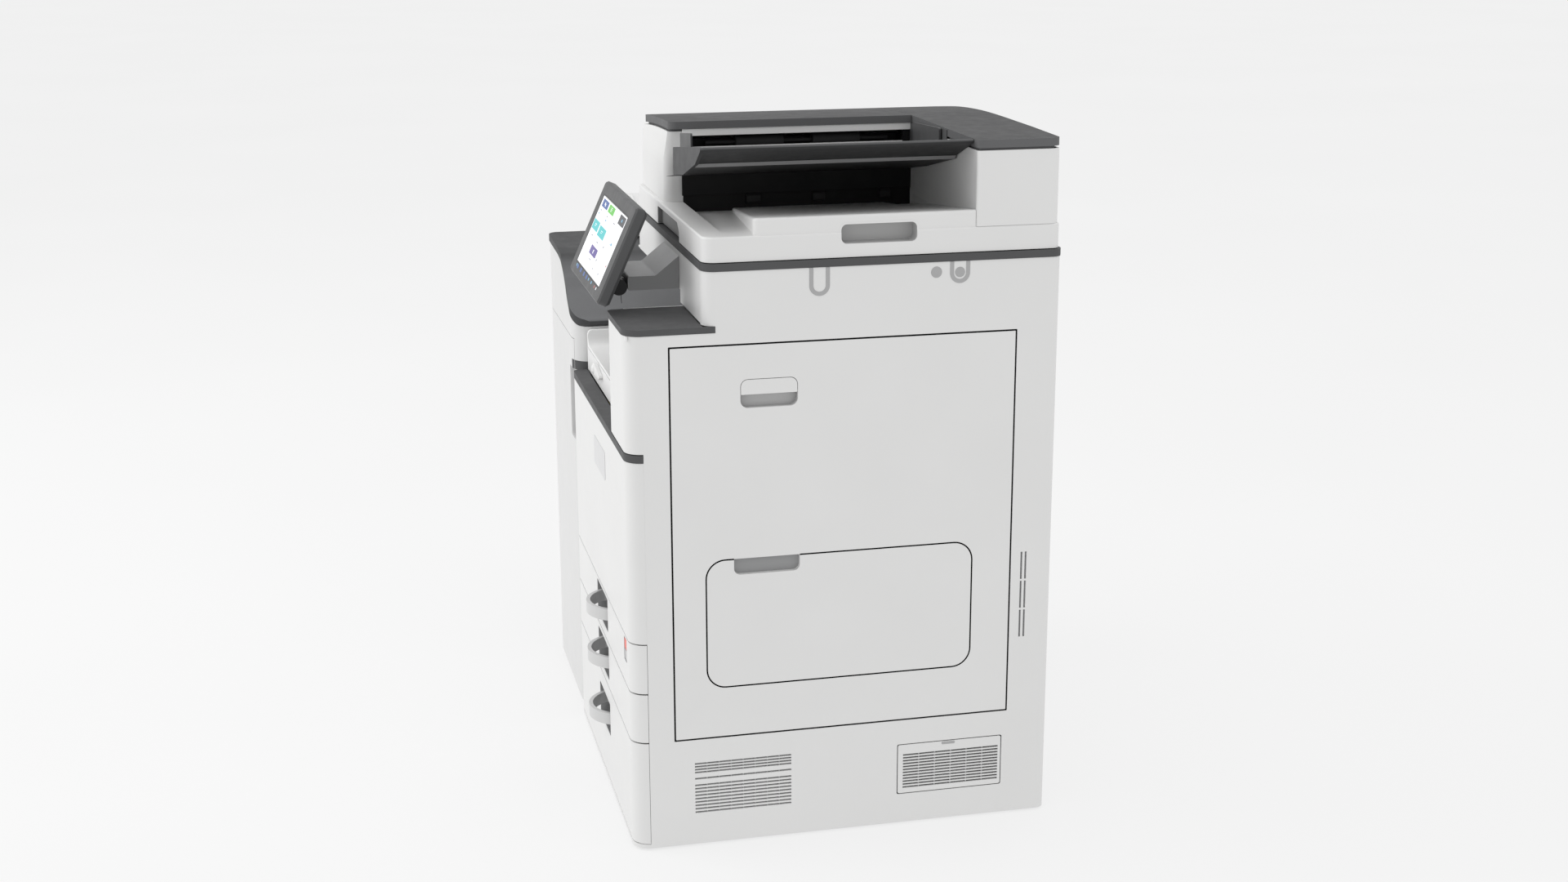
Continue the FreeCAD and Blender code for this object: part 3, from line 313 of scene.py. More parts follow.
WHITE = (0.775, 0.775, 0.77)
M = {
    "white": plastic("white_moulding", WHITE, 0.46, 1500, 0.00003, 0.012, 0.05, 0.35, wavy=0.00004),
    "white_sat": plastic("white_moulding_fine", (0.82, 0.82, 0.815), 0.40, 2200, 0.00002, 0.012, 0.05, 0.4),
    "inner_white": plastic("white_inner_moulding", (0.83, 0.83, 0.825), 0.50, 1300, 0.00004, 0.015, 0.05, 0.35),
    "dark": plastic("dark_grey_moulding", (0.098, 0.099, 0.101), 0.55, 1200, 0.00005, 0.05, 0.06, 0.12, specks=0.15),
    "dark2": plastic("dark_grey_panel_moulding", (0.074, 0.075, 0.077), 0.44, 1500, 0.00004, 0.05, 0.05, 0.4, specks=0.12),
    "arm": plastic("mid_grey_arm_moulding", (0.36, 0.363, 0.367), 0.48, 1300, 0.00004, 0.03, 0.05, 0.4),
    "grey": plastic("mid_grey_moulding", (0.40, 0.402, 0.405), 0.48, 1400, 0.00004, 0.02, 0.05, 0.4),
    "recess": plastic("recess_grey_moulding", (0.33, 0.332, 0.335), 0.52, 1000, 0.00006, 0.03, 0.05, 0.3),
    "handle": plastic("light_grey_handle_moulding", (0.62, 0.62, 0.618), 0.38, 1600, 0.00003, 0.02, 0.05, 0.45),
    "ventgrey": plastic("vent_grey_moulding", (0.26, 0.26, 0.265), 0.55, 900, 0.00006, 0.03, 0.05, 0.3),
    "black": plastic("black_moulding", (0.012, 0.012, 0.013), 0.42, 1300, 0.00004, 0.1, 0.06, 0.4, specks=0.1),
    # black_soft serves as black foam and also as painted shade inside the front gaps and the filter cover seam
    "black_soft": plastic("black_foam_and_gap_painted_shade", (0.02, 0.02, 0.021), 0.85, 700, 0.00012, 0.1, 0.05, 0.1),
    "rubber": plastic("black_rubber", (0.025, 0.025, 0.026), 0.7, 700, 0.0001, 0.1, 0.08, 0.25),
    "steel": metal("zinc_coated_steel", (0.62, 0.63, 0.64), 0.36, "zinc"),
    "rod": metal("ground_steel_rod", (0.66, 0.66, 0.67), 0.25, "brush_y"),
    "sheet": metal("brushed_sheet_steel", (0.55, 0.56, 0.57), 0.33, "brush_x"),
    "glass": glassy("platen_float_glass", (0.55, 0.66, 0.64), 0.02, 0.35),
    "screen": plastic("screen_black_glass", (0.01, 0.01, 0.012), 0.12, 2500, 0.000002, 0.05, 0.03, 0.6, coat=0.6),
    "pcb": plastic("circuit_board_green", (0.02, 0.11, 0.045), 0.4, 420, 0.0001, 0.2, 0.1, 0.5, specks=0.4),
    "cartridge": plastic("toner_cartridge_moulding", (0.05, 0.05, 0.053), 0.3, 1500, 0.00003, 0.05, 0.06, 0.5),
    "belt": plastic("transfer_belt_film", (0.03, 0.026, 0.024), 0.22, 1800, 0.00001, 0.1, 0.05, 0.6, coat=0.3),
    "opc": plastic("drum_photoconductor", (0.03, 0.17, 0.20), 0.14, 2400, 0.000004, 0.06, 0.03, 0.6, coat=0.5),
    "silicone": plastic("silicone_roller_sleeve", (0.42, 0.13, 0.07), 0.5, 900, 0.00004, 0.06, 0.08, 0.4),
    "feedrub": plastic("grey_feed_roller_rubber", (0.16, 0.16, 0.165), 0.75, 800, 0.0001, 0.08, 0.06, 0.2),
    "foam": plastic("white_platen_foam", (0.83, 0.83, 0.825), 0.8, 420, 0.00012, 0.02, 0.06, 0.1),
    "filter": plastic("filter_foam", (0.16, 0.16, 0.163), 0.95, 260, 0.0009, 0.25, 0.04, 0.05),
}
def painted_sheen_slope_dark():
    """Dark moulding of the finisher top with a painted sheen: upward faces of the slope toward the copier are painted
    paler.
    """
    m = plastic("dark_grey_slope_painted_sheen", (0.072, 0.073, 0.075), 0.55, 1200, 0.00005, 0.05, 0.06, 0.12, specks=0.15)
    nt = m.node_tree
    b = [n for n in nt.nodes if n.type == "BSDF_PRINCIPLED"][0]
    tc = [n for n in nt.nodes if n.type == "TEX_COORD"][0]
    src = b.inputs["Base Color"].links[0].from_socket
    sx = nt.nodes.new("ShaderNodeSeparateXYZ")
    nt.links.new(tc.outputs["Object"], sx.inputs[0])
    sn = nt.nodes.new("ShaderNodeSeparateXYZ")
    nt.links.new(tc.outputs["Normal"], sn.inputs[0])
    along = maprange(nt, sx.outputs[0], -0.155, -0.105, 0.0, 1.0)
    facing = maprange(nt, sn.outputs[2], 0.25, 0.6, 0.0, 1.0)
    mu = nt.nodes.new("ShaderNodeMath")
    mu.operation = "MULTIPLY"
    nt.links.new(along, mu.inputs[0])
    nt.links.new(facing, mu.inputs[1])
    mx = nt.nodes.new("ShaderNodeMix")
    mx.data_type = "RGBA"
    mx.blend_type = "MULTIPLY"
    mx.clamp_result = False
    nt.links.new(mu.outputs[0], mx.inputs[0])
    nt.links.new(src, mx.inputs[6])
    # painted sheen: base colour raised 2.6 times on upward faces of the slope near the copier
    mx.inputs[7].default_value = (2.6, 2.6, 2.6, 1)
    nt.links.new(mx.outputs[2], b.inputs["Base Color"])
    return m


def tray_dark_painted_shade():
    """Dark moulding with painted shade: its underside is painted darker than its top and ends."""
    m = plastic("document_tray_painted_shade", (0.098, 0.099, 0.101), 0.55, 1200, 0.00005, 0.05, 0.06, 0.12, specks=0.15)
    nt = m.node_tree
    b = [n for n in nt.nodes if n.type == "BSDF_PRINCIPLED"][0]
    tc = [n for n in nt.nodes if n.type == "TEX_COORD"][0]
    src = b.inputs["Base Color"].links[0].from_socket
    sn = nt.nodes.new("ShaderNodeSeparateXYZ")
    nt.links.new(tc.outputs["Normal"], sn.inputs[0])
    under = maprange(nt, sn.outputs[2], -0.30, -0.10, 1.0, 0.0)
    mx = nt.nodes.new("ShaderNodeMix")
    mx.data_type = "RGBA"
    mx.blend_type = "MULTIPLY"
    nt.links.new(under, mx.inputs[0])
    nt.links.new(src, mx.inputs[6])
    # painted shade: downward faces darkened to 0.40
    mx.inputs[7].default_value = (0.40, 0.40, 0.40, 1)
    nt.links.new(mx.outputs[2], b.inputs["Base Color"])
    return m


def painted_shade_by_facing(name, rgb, rough, up, side, spec=0.12, var=0.05, specks=0.15):
    """Moulding with painted light and shade: upward faces and walls are painted in different tones."""
    m = plastic(name, rgb, rough, 1200, 0.00005, var, 0.06, spec, specks=specks)
    nt = m.node_tree
    b = [n for n in nt.nodes if n.type == "BSDF_PRINCIPLED"][0]
    tc = [n for n in nt.nodes if n.type == "TEX_COORD"][0]
    src = b.inputs["Base Color"].links[0].from_socket
    sn = nt.nodes.new("ShaderNodeSeparateXYZ")
    nt.links.new(tc.outputs["Normal"], sn.inputs[0])
    f = ramp(nt, maprange(nt, sn.outputs[2], 0.3, 0.8, 0.0, 1.0), 0.0, 1.0, (side, side, side), (up, up, up))
    mx = nt.nodes.new("ShaderNodeMix")
    mx.data_type = "RGBA"
    mx.blend_type = "MULTIPLY"
    mx.inputs[0].default_value = 1.0
    nt.links.new(src, mx.inputs[6])
    nt.links.new(f, mx.inputs[7])
    nt.links.new(mx.outputs[2], b.inputs["Base Color"])
    return m


M["slope"] = painted_sheen_slope_dark()
# painted shade: the feeder lid's tops are painted darker than its walls, the panel arm's walls darker than its top
M["lid_dark"] = painted_shade_by_facing("feeder_lid_painted_shade", (0.135, 0.136, 0.139), 0.55, 0.55, 1.0)
M["arm2"] = painted_shade_by_facing("mid_grey_arm_painted_shade", (0.50, 0.503, 0.508), 0.48, 1.0, 0.55, 0.3, 0.03, 0.05)
# grey standing in for the shade inside the finisher grip pocket: painted shade
M["fin_grip"] = plastic("finisher_grip_painted_shade", (0.62, 0.62, 0.62), 0.5, 1400, 0.00004, 0.02, 0.05, 0.3)
M["tray_dark_painted_shade"] = tray_dark_painted_shade()
M["white_fin"] = plastic("white_finisher_moulding", (0.71, 0.71, 0.707), 0.46, 1500, 0.00003, 0.012, 0.05, 0.3, wavy=0.00004)
NODE_MAT = {
    "main_frame": "steel", "levelling_feet": "rubber", "right_cover": "white", "filter_cover": "white",
    "left_cover": "white", "rear_cover": "white", "power_inlet": "black", "rear_electronics": "pcb",
    "front_cover": "white", "front_trim_strip": "dark", "transfer_belt_unit": "belt", "laser_unit": "sheet",
    "toner_cartridges": "cartridge", "fuser_housing": "sheet", "fuser_roller": "silicone", "pressure_roller": "silicone",
    "output_tray_liner": "inner_white", "shelf_plate": "dark", "scanner_casing": "white", "scanner_trim_frame": "dark",
    "platen_glass": "glass", "scan_carriage": "black", "mirror_carriage": "black", "side_door": "white",
    "door_grip": "white", "bypass_tray": "white", "bypass_extension": "handle", "bypass_guide_front": "grey",
    "bypass_guide_rear": "grey", "panel_arm": "arm2", "panel_housing": "dark2", "touch_screen": "screen",
    "panel_hinge": "black", "adf_base": "white", "platen_pad": "foam", "adf_housing": "white",
    "adf_feed_cover": "lid_dark", "adf_rear_top": "lid_dark", "feed_roller": "rubber", "doc_tray": "tray_dark_painted_shade",
    "doc_guide_front": "dark2", "doc_guide_rear": "dark2", "finisher_top_plate": "slope", "finisher_body": "white_fin",
    "finisher_door": "white_fin", "proof_tray": "white", "shift_tray": "dark",
}
for n in ("yellow", "magenta", "cyan", "black"):
    NODE_MAT["drum_" + n] = "opc"
for i in (1, 2, 3):
    NODE_MAT["tray_%d_front" % i] = "white"
    NODE_MAT["tray_%d_handle" % i] = "handle"
    NODE_MAT["tray_%d_bin" % i] = "grey"
for n, ob in N.items():
    ob.data.materials.clear()
    ob.data.materials.append(M[NODE_MAT[n]])



# ------------------------------------------------------ further materials
def lit(name, rgb, em, rough=0.3):
    return plastic(name, rgb, rough, 2600, 0.000002, 0.02, 0.03, 0.5, em=em)


M["cap"] = plastic("pale_grey_cap_moulding", (0.42, 0.42, 0.422), 0.5, 1400, 0.00004, 0.02, 0.05, 0.35)
M["badge"] = plastic("pale_badge_plate", (0.66, 0.66, 0.665), 0.35, 2400, 0.00001, 0.01, 0.03, 0.5)
M["tan"] = plastic("adf_bar_moulding", (0.80, 0.80, 0.795), 0.45, 1500, 0.00003, 0.02, 0.05, 0.35)
M["lip"] = plastic("light_lip_moulding", (0.21, 0.21, 0.212), 0.40, 1500, 0.00003, 0.03, 0.05, 0.4)
M["deep"] = plastic("feeder_inner_black", (0.006, 0.006, 0.0065), 0.5, 1200, 0.00005, 0.1, 0.06, 0.25)
M["tab"] = plastic("exit_roller_tab", (0.022, 0.022, 0.023), 0.5, 1200, 0.00005, 0.1, 0.06, 0.3)
M["lamp"] = lit("indicator_lamp_red", (0.72, 0.07, 0.04), 0.15)
M["lampwin"] = plastic("indicator_window", (0.30, 0.30, 0.31), 0.2, 2400, 0.00001, 0.03, 0.03, 0.6, coat=0.4)
M["page"] = lit("ui_page_white", (0.92, 0.93, 0.95), 0.16)
M["ui_blue"] = lit("ui_tile_blue", (0.012, 0.075, 0.30), 0.12)
M["ui_green"] = lit("ui_tile_green", (0.10, 0.52, 0.04), 0.12)
M["ui_black"] = lit("ui_tile_black", (0.02, 0.022, 0.03), 0.1)
M["ui_cyan"] = lit("ui_tile_cyan", (0.04, 0.52, 0.54), 0.12)
M["ui_purple"] = lit("ui_tile_purple", (0.075, 0.04, 0.28), 0.12)
M["ui_sky"] = lit("ui_icon_sky", (0.16, 0.42, 0.62), 0.1)
M["ui_slate"] = lit("ui_icon_slate", (0.10, 0.12, 0.17), 0.1)
M["ui_red"] = lit("ui_icon_red", (0.42, 0.08, 0.07), 0.1)
M["ui_glyph"] = lit("ui_glyph_white", (0.9, 0.92, 0.95), 0.15)
M["recess_door"] = plastic("door_grip_recess_moulding", (0.50, 0.50, 0.50), 0.52, 1000, 0.00006, 0.03, 0.05, 0.3)
M["pocket"] = plastic("feeder_pocket_moulding", (0.51, 0.51, 0.508), 0.5, 1400, 0.00004, 0.02, 0.05, 0.35)
M["lift"] = plastic("lift_recess_moulding", (0.27, 0.271, 0.273), 0.5, 1400, 0.00004, 0.04, 0.05, 0.2)
# near-black tone for the sheet under the document tray: painted shade
M["under"] = plastic("tray_underside_moulding", (0.035, 0.035, 0.036), 0.55, 1300, 0.00004, 0.05, 0.06, 0.2)
M["cap_y"] = plastic("toner_cap_yellow", (0.80, 0.62, 0.05), 0.35, 1500, 0.00003, 0.03, 0.05, 0.5)
M["cap_m"] = plastic("toner_cap_magenta", (0.62, 0.06, 0.25), 0.35, 1500, 0.00003, 0.03, 0.05, 0.5)
M["cap_c"] = plastic("toner_cap_cyan", (0.05, 0.36, 0.62), 0.35, 1500, 0.00003, 0.03, 0.05, 0.5)
M["cap_k"] = plastic("toner_cap_black", (0.03, 0.03, 0.032), 0.35, 1500, 0.00003, 0.05, 0.05, 0.5)
M["green"] = plastic("green_release_lever", (0.10, 0.42, 0.16), 0.4, 1500, 0.00003, 0.03, 0.05, 0.45)
M["chip"] = plastic("black_chip_epoxy", (0.015, 0.015, 0.017), 0.5, 900, 0.00003, 0.1, 0.05, 0.4)
M["label"] = plastic("blank_label_film", (0.72, 0.73, 0.72), 0.3, 2400, 0.00001, 0.02, 0.04, 0.5)

# near-black for the insides of seams: painted shade
M["gap"] = plastic("black_gap_painted_shade", (0.006, 0.006, 0.0065), 0.8, 700, 0.00008, 0.1, 0.05, 0.05)
C = "cabinet"


def liner(name, rect, r, plane, mouth, back, t, mat, body, mid=0.0):
    """Five-sided lining of a rounded pocket: ring wall and back plate."""
    a0, a1, b0, b1 = rect
    bm = bmesh.new()
    s = 1 if back > mouth else -1
    lo, hi = sorted((mouth, back))
    add_band(bm, rr(a0 + t, a1 - t, b0 + t, b1 - t, max(r - t, 0.2)), rr(a0 + 0.02, a1 - 0.02, b0 + 0.02, b1 - 0.02, r), plane, lo, hi)
    lo, hi = sorted((back, back - s * t))
    add_prism(bm, rr(a0 + t, a1 - t, b0 + t, b1 - t, max(r - t, 0.2)), plane, lo, hi)
    return finish_mesh(name, bm, mat, body, 0.0)


# ------------------------------------------------------------ right side
# black strips inside the side door and bypass tray gaps and along their edges: painted shade of the seams
bm = bmesh.new()
add_band(bm, rr(68.02, 612.98, 183.02, 812.98, 1.0), rr(66.7, 614.3, 181.7, 814.3, 1.2), "yz", -7, -0.1)
add_band(bm, rr(68.7, 612.3, 183.7, 812.3, 1.0), rr(68.0, 613.0, 183.0, 813.0, 1.0), "yz", -0.05, 0.08)
finish_mesh("side_door_gap_painted_shade", bm, M["gap"], "side_door")
t = 1.25
pts_in = rr(121.0, 548.0, 267.0, 474.0, 29, 10)
pts_out = rr(121.0 - t, 548.0 + t, 267.0 - t, 474.0 + t, 29 + t, 10)
# corners run: lower front, lower rear, upper rear, upper front
ci = [pts_in[0:11], pts_in[11:22], pts_in[22:33], pts_in[33:44]]
co_ = [pts_out[0:11], pts_out[11:22], pts_out[22:33], pts_out[33:44]]
path_in = ([(164.0, 474.0)] + ci[3] + ci[0] + ci[1] + ci[2] + [(268.6, 474.0)])
path_out = ([(164.0, 474.0 + t)] + co_[3] + co_[0] + co_[1] + co_[2] + [(268.6, 474.0 + t)])
bm = bmesh.new()
add_band(bm, path_in, path_out, "yz", -3.3, -0.05, closed=False)
t2 = 2.35
far = rr(121.0 - t2, 548.0 + t2, 267.0 - t2, 474.0 + t2, 29 + t2, 10)
fo = [far[0:11], far[11:22], far[22:33], far[33:44]]
path_far = [(164.0, 474.0 + t2)] + fo[3] + fo[0] + fo[1] + fo[2] + [(268.6, 474.0 + t2)]
add_band(bm, path_in, path_far, "yz", -0.05, 0.1, closed=False)
finish_mesh("bypass_tray_gap_painted_shade", bm, M["gap"], "side_door")
bm = bmesh.new()
add_band(bm, rr(176.3, 265.2, 714.8, 759.2, 11.7), rr(176.02, 265.48, 714.52, 759.48, 12), "yz", -13.0, -3.3)
add_prism(bm, rr(176.3, 265.2, 714.8, 759.2, 11.7), "yz", -13.4, -13.0)
finish_mesh("side_door_grip_liner", bm, M["recess_door"], "side_door")
bm = bmesh.new()
add_prism(bm, [(164.1, 452), (166.5, 449.7), (266.0, 449.7), (268.4, 452), (268.4, 473.9), (164.1, 473.9)], "yz", -8.95, -8.5)
finish_mesh("bypass_grip_liner", bm, M["recess"], "bypass_tray")

boxes("vent_backing", [(-4.3, -3.15, 94, 258.5, 52.5, 111.0), (-4.3, -3.15, 94, 258.5, 111.6, 147.5)], M["ventgrey"], C, 0)
zs = [56.0 + 5.75 * i for i in range(9)] + [113.4] + [124.0 + 4.9 * i for i in range(4)]
items = []
for z in zs:
    for k in range(1, 8):
        y = 98.0 + 156.4 * k / 8.0
        items.append((-3.1, -0.9, y - 0.8, y + 0.8, z + 0.02, z + 2.98))
boxes("vent_ribs", items, M["cap"], C, 0)
boxes("slot_vent_backing", [(-4.3, -3.15, 628.8, 643.4, 304.5, 453.5)], M["ventgrey"], C, 0)
items = [(-8.5, -3.4, 436, 604, 58.5, 128.0)]
boxes("exhaust_filter", items, M["filter"], C, 0.5)
items = []
for k in range(1, 6):
    y = 440 + 161 * k / 6.0
    items.append((-2.9, -0.8, y - 1.0, y + 1.0, 62.6, 65.4 + 5.1 * 11))
boxes("filter_cover_ribs", items, M["cap"], C, 0)
# black band inside the seam round the filter cover: painted shade
band("filter_cover_gap", rr(431.45, 605.55, 53.95, 138.05, 3.0), rr(430.05, 606.95, 52.55, 139.45, 3.0), "yz", -2.9, -1.4,
     M["black_soft"], C)
prism("filter_cover_tab", rr(505, 527, 132.6, 137.0, 1.2), "yz", -0.2, 0.55, M["cap"], C, 0.2)

# the closing line between the corner-wrapping fronts and the right cover
boxes("corner_joint_lower", [(-2.6, -0.35, 25.43, 25.97, 11.6, 345.1)], M["black_soft"], C, 0)
boxes("corner_joint_upper", [(-2.9, -0.06, 25.43, 25.97, 347.3, 637.5)], M["white"], C, 0)

# cap strips and plugs on the scanner housing
def u_strip(name, y0, y1, zc, top, wdt, body):
    cy, ro = (y0 + y1) / 2, (y1 - y0) / 2
    outer = [(y0, top)] + arc(cy, zc, ro, 180, 360, 18) + [(y1, top)]
    inner = [(y0 + wdt, top)] + arc(cy, zc, ro - wdt, 180, 360, 18) + [(y1 - wdt, top)]
    band(name, inner, outer, "yz", -0.05, 0.5, M["cap"], body, closed=False, bevel=0.12)


u_strip("hinge_cap_front", 283, 315, 898.0, 925.3, 6.4, C)
u_strip("hinge_cap_rear", 504, 536, 907.5, 925.3, 6.4, C)
lathes("cover_plugs", [([(0, -0.05), (8.0, -0.05), (8.0, 0.35), (7.5, 0.6), (0, 0.7)], "x", (520, 908.6)),
                       ([(0, -0.05), (8.75, -0.05), (8.75, 0.35), (8.2, 0.6), (0, 0.7)], "x", (482.5, 910))],
       M["cap"], C, 28)

# ----------------------------------------------------------------- front
prism("front_badge_blank", rr(-345, -225, 548, 596, 6), "xz", -0.7, 0.02, M["badge"], "front_door", 0.25)
for n, (hz, (z0, z1)) in enumerate(zip((311.0, 226.0, 125.5), ((265.4, 345.2), (183.7, 263.0), (11.5, 181.3)))):
    a, b = max(hz - 29, z0 + 3.6), min(hz + 29, z1 - 3.6)
    liner("tray_%d_grip_liner" % (n + 1), (-354.0, -240.0, a, b), 2.0, "xz", 0.4, 28.5, 0.22, M["recess"], "drawer_%d" % (n + 1))
liner("indicator_frame", (-66, -42, 303, 341), 0.4, "xz", 0.05, 1.6, 0.3, M["recess"], "drawer_1")
prism("indicator_window", rr(-64, -44, 305, 321.5, 1.5), "xz", 0.35, 1.3, M["lampwin"], "drawer_1", 0.2)
prism("indicator_lamp", rr(-64, -44, 323.0, 338.5, 1.5), "xz", 0.25, 1.3, M["lamp"], "drawer_1", 0.3)

# ------------------------------------------------------- in-body output
items = []
for k in range(9):
    y = 70 + 56 * k
    items.append((-560, -190, y, y + 3, 696.9, 698.2))
boxes("output_deck_ribs", items, M["inner_white"], C, 0.5)
lathes("output_exit_rollers", [([(0, y), (7.6, y), (8, y + 1), (8, y + 21), (7.6, y + 22), (0, y + 22)], "y", (-157.5, 713)) for y in (180, 250, 348, 418)],
       M["feedrub"], C, 20)
lathes("output_exit_shaft", [([(0, 152), (3, 152), (3, 468), (0, 468)], "y", (-157.5, 713))], M["rod"], C, 16)
lathe("output_latch_boss", [(0, 26.2), (9.5, 26.2), (10.5, 22.5), (8.5, 18.0), (5.0, 15.4), (0, 14.8)], "y", (-467, 678), M["white_sat"], C, 26)
prism("output_latch_lever", [(-478, 670.5), (-470, 668), (-410, 672), (-406, 675.5), (-409, 679), (-462, 689), (-476, 687)], "xz", 18.5, 26.1,
      M["white_sat"], C, 1.2, seg=3)
prism("output_front_bead", rr(-583, -170, 688.2, 690.6, 0.8), "xz", 25.2, 26.1, M["inner_white"], C, 0.3)
boxes("shelf_underside_rail", [(-160, -6, 3.4, 6.4, 826, 832.9)], M["inner_white"], C, 0.4)

# --------------------------------------------------- operation panel face
TILT = (Matrix.Translation(P(0, 24, 872)) @ Matrix.Rotation(math.radians(-24.4), 4, "X") @ Matrix.Translation(-P(0, 24, 872)))
OPB = "operation_panel"


def uv(u0, u1, v0, v1):
    return (-257 - 120.5 + u0 * 241, -257 - 120.5 + u1 * 241, 924.6 + 58 - v1 * 116, 924.6 + 58 - v0 * 116)


def tile(name, u0, u1, v0, v1, mat, y0=-17.29, y1=-17.2, r=1.0):
    x0, x1, z0, z1 = uv(u0, u1, v0, v1)
    return prism(name, rr(x0, x1, z0, z1, r), "xz", y0, y1, M[mat], OPB, 0, tf=TILT)


def glyph(name, items, mat="ui_glyph"):
    bm = bmesh.new()
    for (u0, u1, v0, v1) in items:
        x0, x1, z0, z1 = uv(u0, u1, v0, v1)
        add_prism(bm, rr(x0, x1, z0, z1, 0.4, 3), "xz", -17.36, -17.28)
    return finish_mesh(name, bm, M[mat], OPB, 0.0, tf=TILT)


tile("ui_page", 0.005, 0.995, 0.008, 0.992, "page", -17.22, -17.08, 0.6)
tile("ui_tile_copy", 0.055, 0.28, 0.035, 0.145, "ui_blue")
tile("ui_tile_scan", 0.32, 0.54, 0.035, 0.145, "ui_green")
tile("ui_tile_status", 0.765, 0.975, 0.03, 0.165, "ui_black")
tile("ui_tile_pair_left", 0.02, 0.25, 0.345, 0.485, "ui_cyan")
tile("ui_tile_pair_right", 0.285, 0.54, 0.36, 0.505, "ui_cyan")
tile("ui_tile_store", 0.27, 0.53, 0.655, 0.775, "ui_purple")
glyph("ui_glyph_copy", [(0.14, 0.165, 0.065, 0.105), (0.165, 0.19, 0.08, 0.12)])
glyph("ui_glyph_scan", [(0.40, 0.45, 0.06, 0.07), (0.40, 0.45, 0.082, 0.092), (0.40, 0.44, 0.104, 0.114)])
glyph("ui_glyph_status", [(0.855, 0.885, 0.075, 0.115)], "ui_sky")
glyph("ui_glyph_pair", [(0.10, 0.16, 0.395, 0.405), (0.10, 0.14, 0.42, 0.43), (0.38, 0.44, 0.41, 0.42), (0.38, 0.42, 0.435, 0.445)])
glyph("ui_glyph_store", [(0.385, 0.41, 0.69, 0.745)])
glyph("ui_icons_sky", [(0.83, 0.865, 0.43, 0.465), (0.80, 0.82, 0.45, 0.462), (0.06, 0.09, 0.24, 0.262), (0.36, 0.40, 0.25, 0.27)], "ui_sky")
glyph("ui_icons_slate", [(0.64, 0.66, 0.545, 0.57), (0.59, 0.61, 0.755, 0.78), (0.59, 0.61, 0.885, 0.90), (0.81, 0.83, 0.875, 0.895), (0.08, 0.12, 0.19, 0.2),
                         (0.35, 0.40, 0.2, 0.21), (0.64, 0.70, 0.20, 0.21), (0.12, 0.17, 0.555, 0.565), (0.38, 0.43, 0.575, 0.585), (0.36, 0.42, 0.83, 0.84)], "ui_slate")
glyph("ui_icon_red", [(0.945, 0.965, 0.705, 0.73)], "ui_red")


def mark(name, items, mat):
    """Small printed keys on the bezel below the display."""
    bm = bmesh.new()
    for (u0, u1, v0, v1) in items:
        x0, x1, z0, z1 = uv(u0, u1, v0, v1)
        add_prism(bm, rr(x0, x1, z0, z1, 0.6, 3), "xz", -17.55, -17.38)
    return finish_mesh(name, bm, M[mat], OPB, 0.0, tf=TILT)


mark("bezel_keys_blue", [(0.09, 0.145, 1.02, 1.078), (0.235, 0.29, 1.02, 1.078), (0.38, 0.43, 1.02, 1.078), (0.50, 0.55, 1.02, 1.078)], "ui_blue")
mark("bezel_keys_pale", [(0.05, 0.075, 1.024, 1.064), (0.60, 0.625, 1.026, 1.064), (0.72, 0.745, 1.026, 1.064)], "ui_sky")
mark("bezel_keys_red", [(0.86, 0.885, 1.026, 1.064)], "ui_red")
mark("bezel_keys_white", [(0.93, 0.95, 1.026, 1.064)], "ui_glyph")
# thin frame of the display window
x0, x1, z0, z1 = uv(-0.004, 1.004, -0.008, 1.008)
band("panel_window_frame", rr(x0, x1, z0, z1, 0.5), rr(x0 - 1.2, x1 + 1.2, z0 - 1.2, z1 + 1.2, 1.6), "xz", -17.52, -17.38, M["dark"], OPB, tf=TILT)

# --------------------------------------------------------- document feeder
F = "document_feeder"
boxes("feeder_front_block", [(-354.95, -350.0, 156.5, 547.5 - 2.9, 987.2, 1062.0)], M["deep"], F, 0.8)
boxes("feeder_exit_wall", [(-354.95, -354.3, 158.4, 544.7, 959.6, 987.1)], M["deep"], F, 0)
bm = bmesh.new()
for (y0, y1) in ((263, 287), (376, 397), (491, 509)):
    add_prism(bm, [(-354.2, 971), (-350.5, 971), (-348.5, 974), (-348.5, 984), (-351, 987), (-354.2, 987)], "xz", y0, y1)
finish_mesh("feeder_exit_tabs", bm, M["tab"], F, 0.6)
boxes("feeder_top_bar", [(-355.0 + 0.05, -351.6, 158.0, 544.6, 1084.2, 1095.7)], M["tan"], F, 0.5)
bm = bmesh.new()
add_box(bm, -395, -393, 165, 531, 1046, 1074)
add_box(bm, -393, -361, 165, 531, 1044, 1046)
add_box(bm, -393, -361, 162.5, 165, 1044, 1074)
add_box(bm, -393, -361, 531, 533.5, 1044, 1074)
finish_mesh("feeder_entry_chute", bm, M["deep"], F, 0.3)
lathes("feeder_shaft", [([(0, 175), (3.3, 175), (3.3, 520), (0, 520)], "y", (-392 + 2, 1052))], M["rod"], F, 14)
prism("feeder_rear_side_wall", [(-354, 1056), (-344, 1050), (-180, 1074), (-172, 1078), (-172, 1095.6), (-354, 1095.6)], "xz", 543.35, 544.9,
      M["dark2"], F, 0.2)
boxes("feeder_rear_post", [(-182, -153, 543.3, 544.35, 1086.5, 1106.0)], M["dark"], F, 0.3)
prism("document_tray_lip", [(-99.9, 1068.2), (-96.9, 1073.9), (-95.9, 1073.4), (-98.9, 1067.6)], "xz", 129, 541, M["lip"], "document_tray", 0.2)
bm = bmesh.new()
add_prism(bm, [(-382.5, 940), (-191.5, 940), (-191.5, 955), (-207.5, 967.5), (-382.5, 967.5)], "xz", 128.0, 128.5)
add_prism(bm, [(-382.9, 940), (-382.3, 940), (-382.3, 967.4), (-382.9, 967.4)], "xz", 121.5, 128.0)
finish_mesh("lift_recess_liner", bm, M["lift"], F)
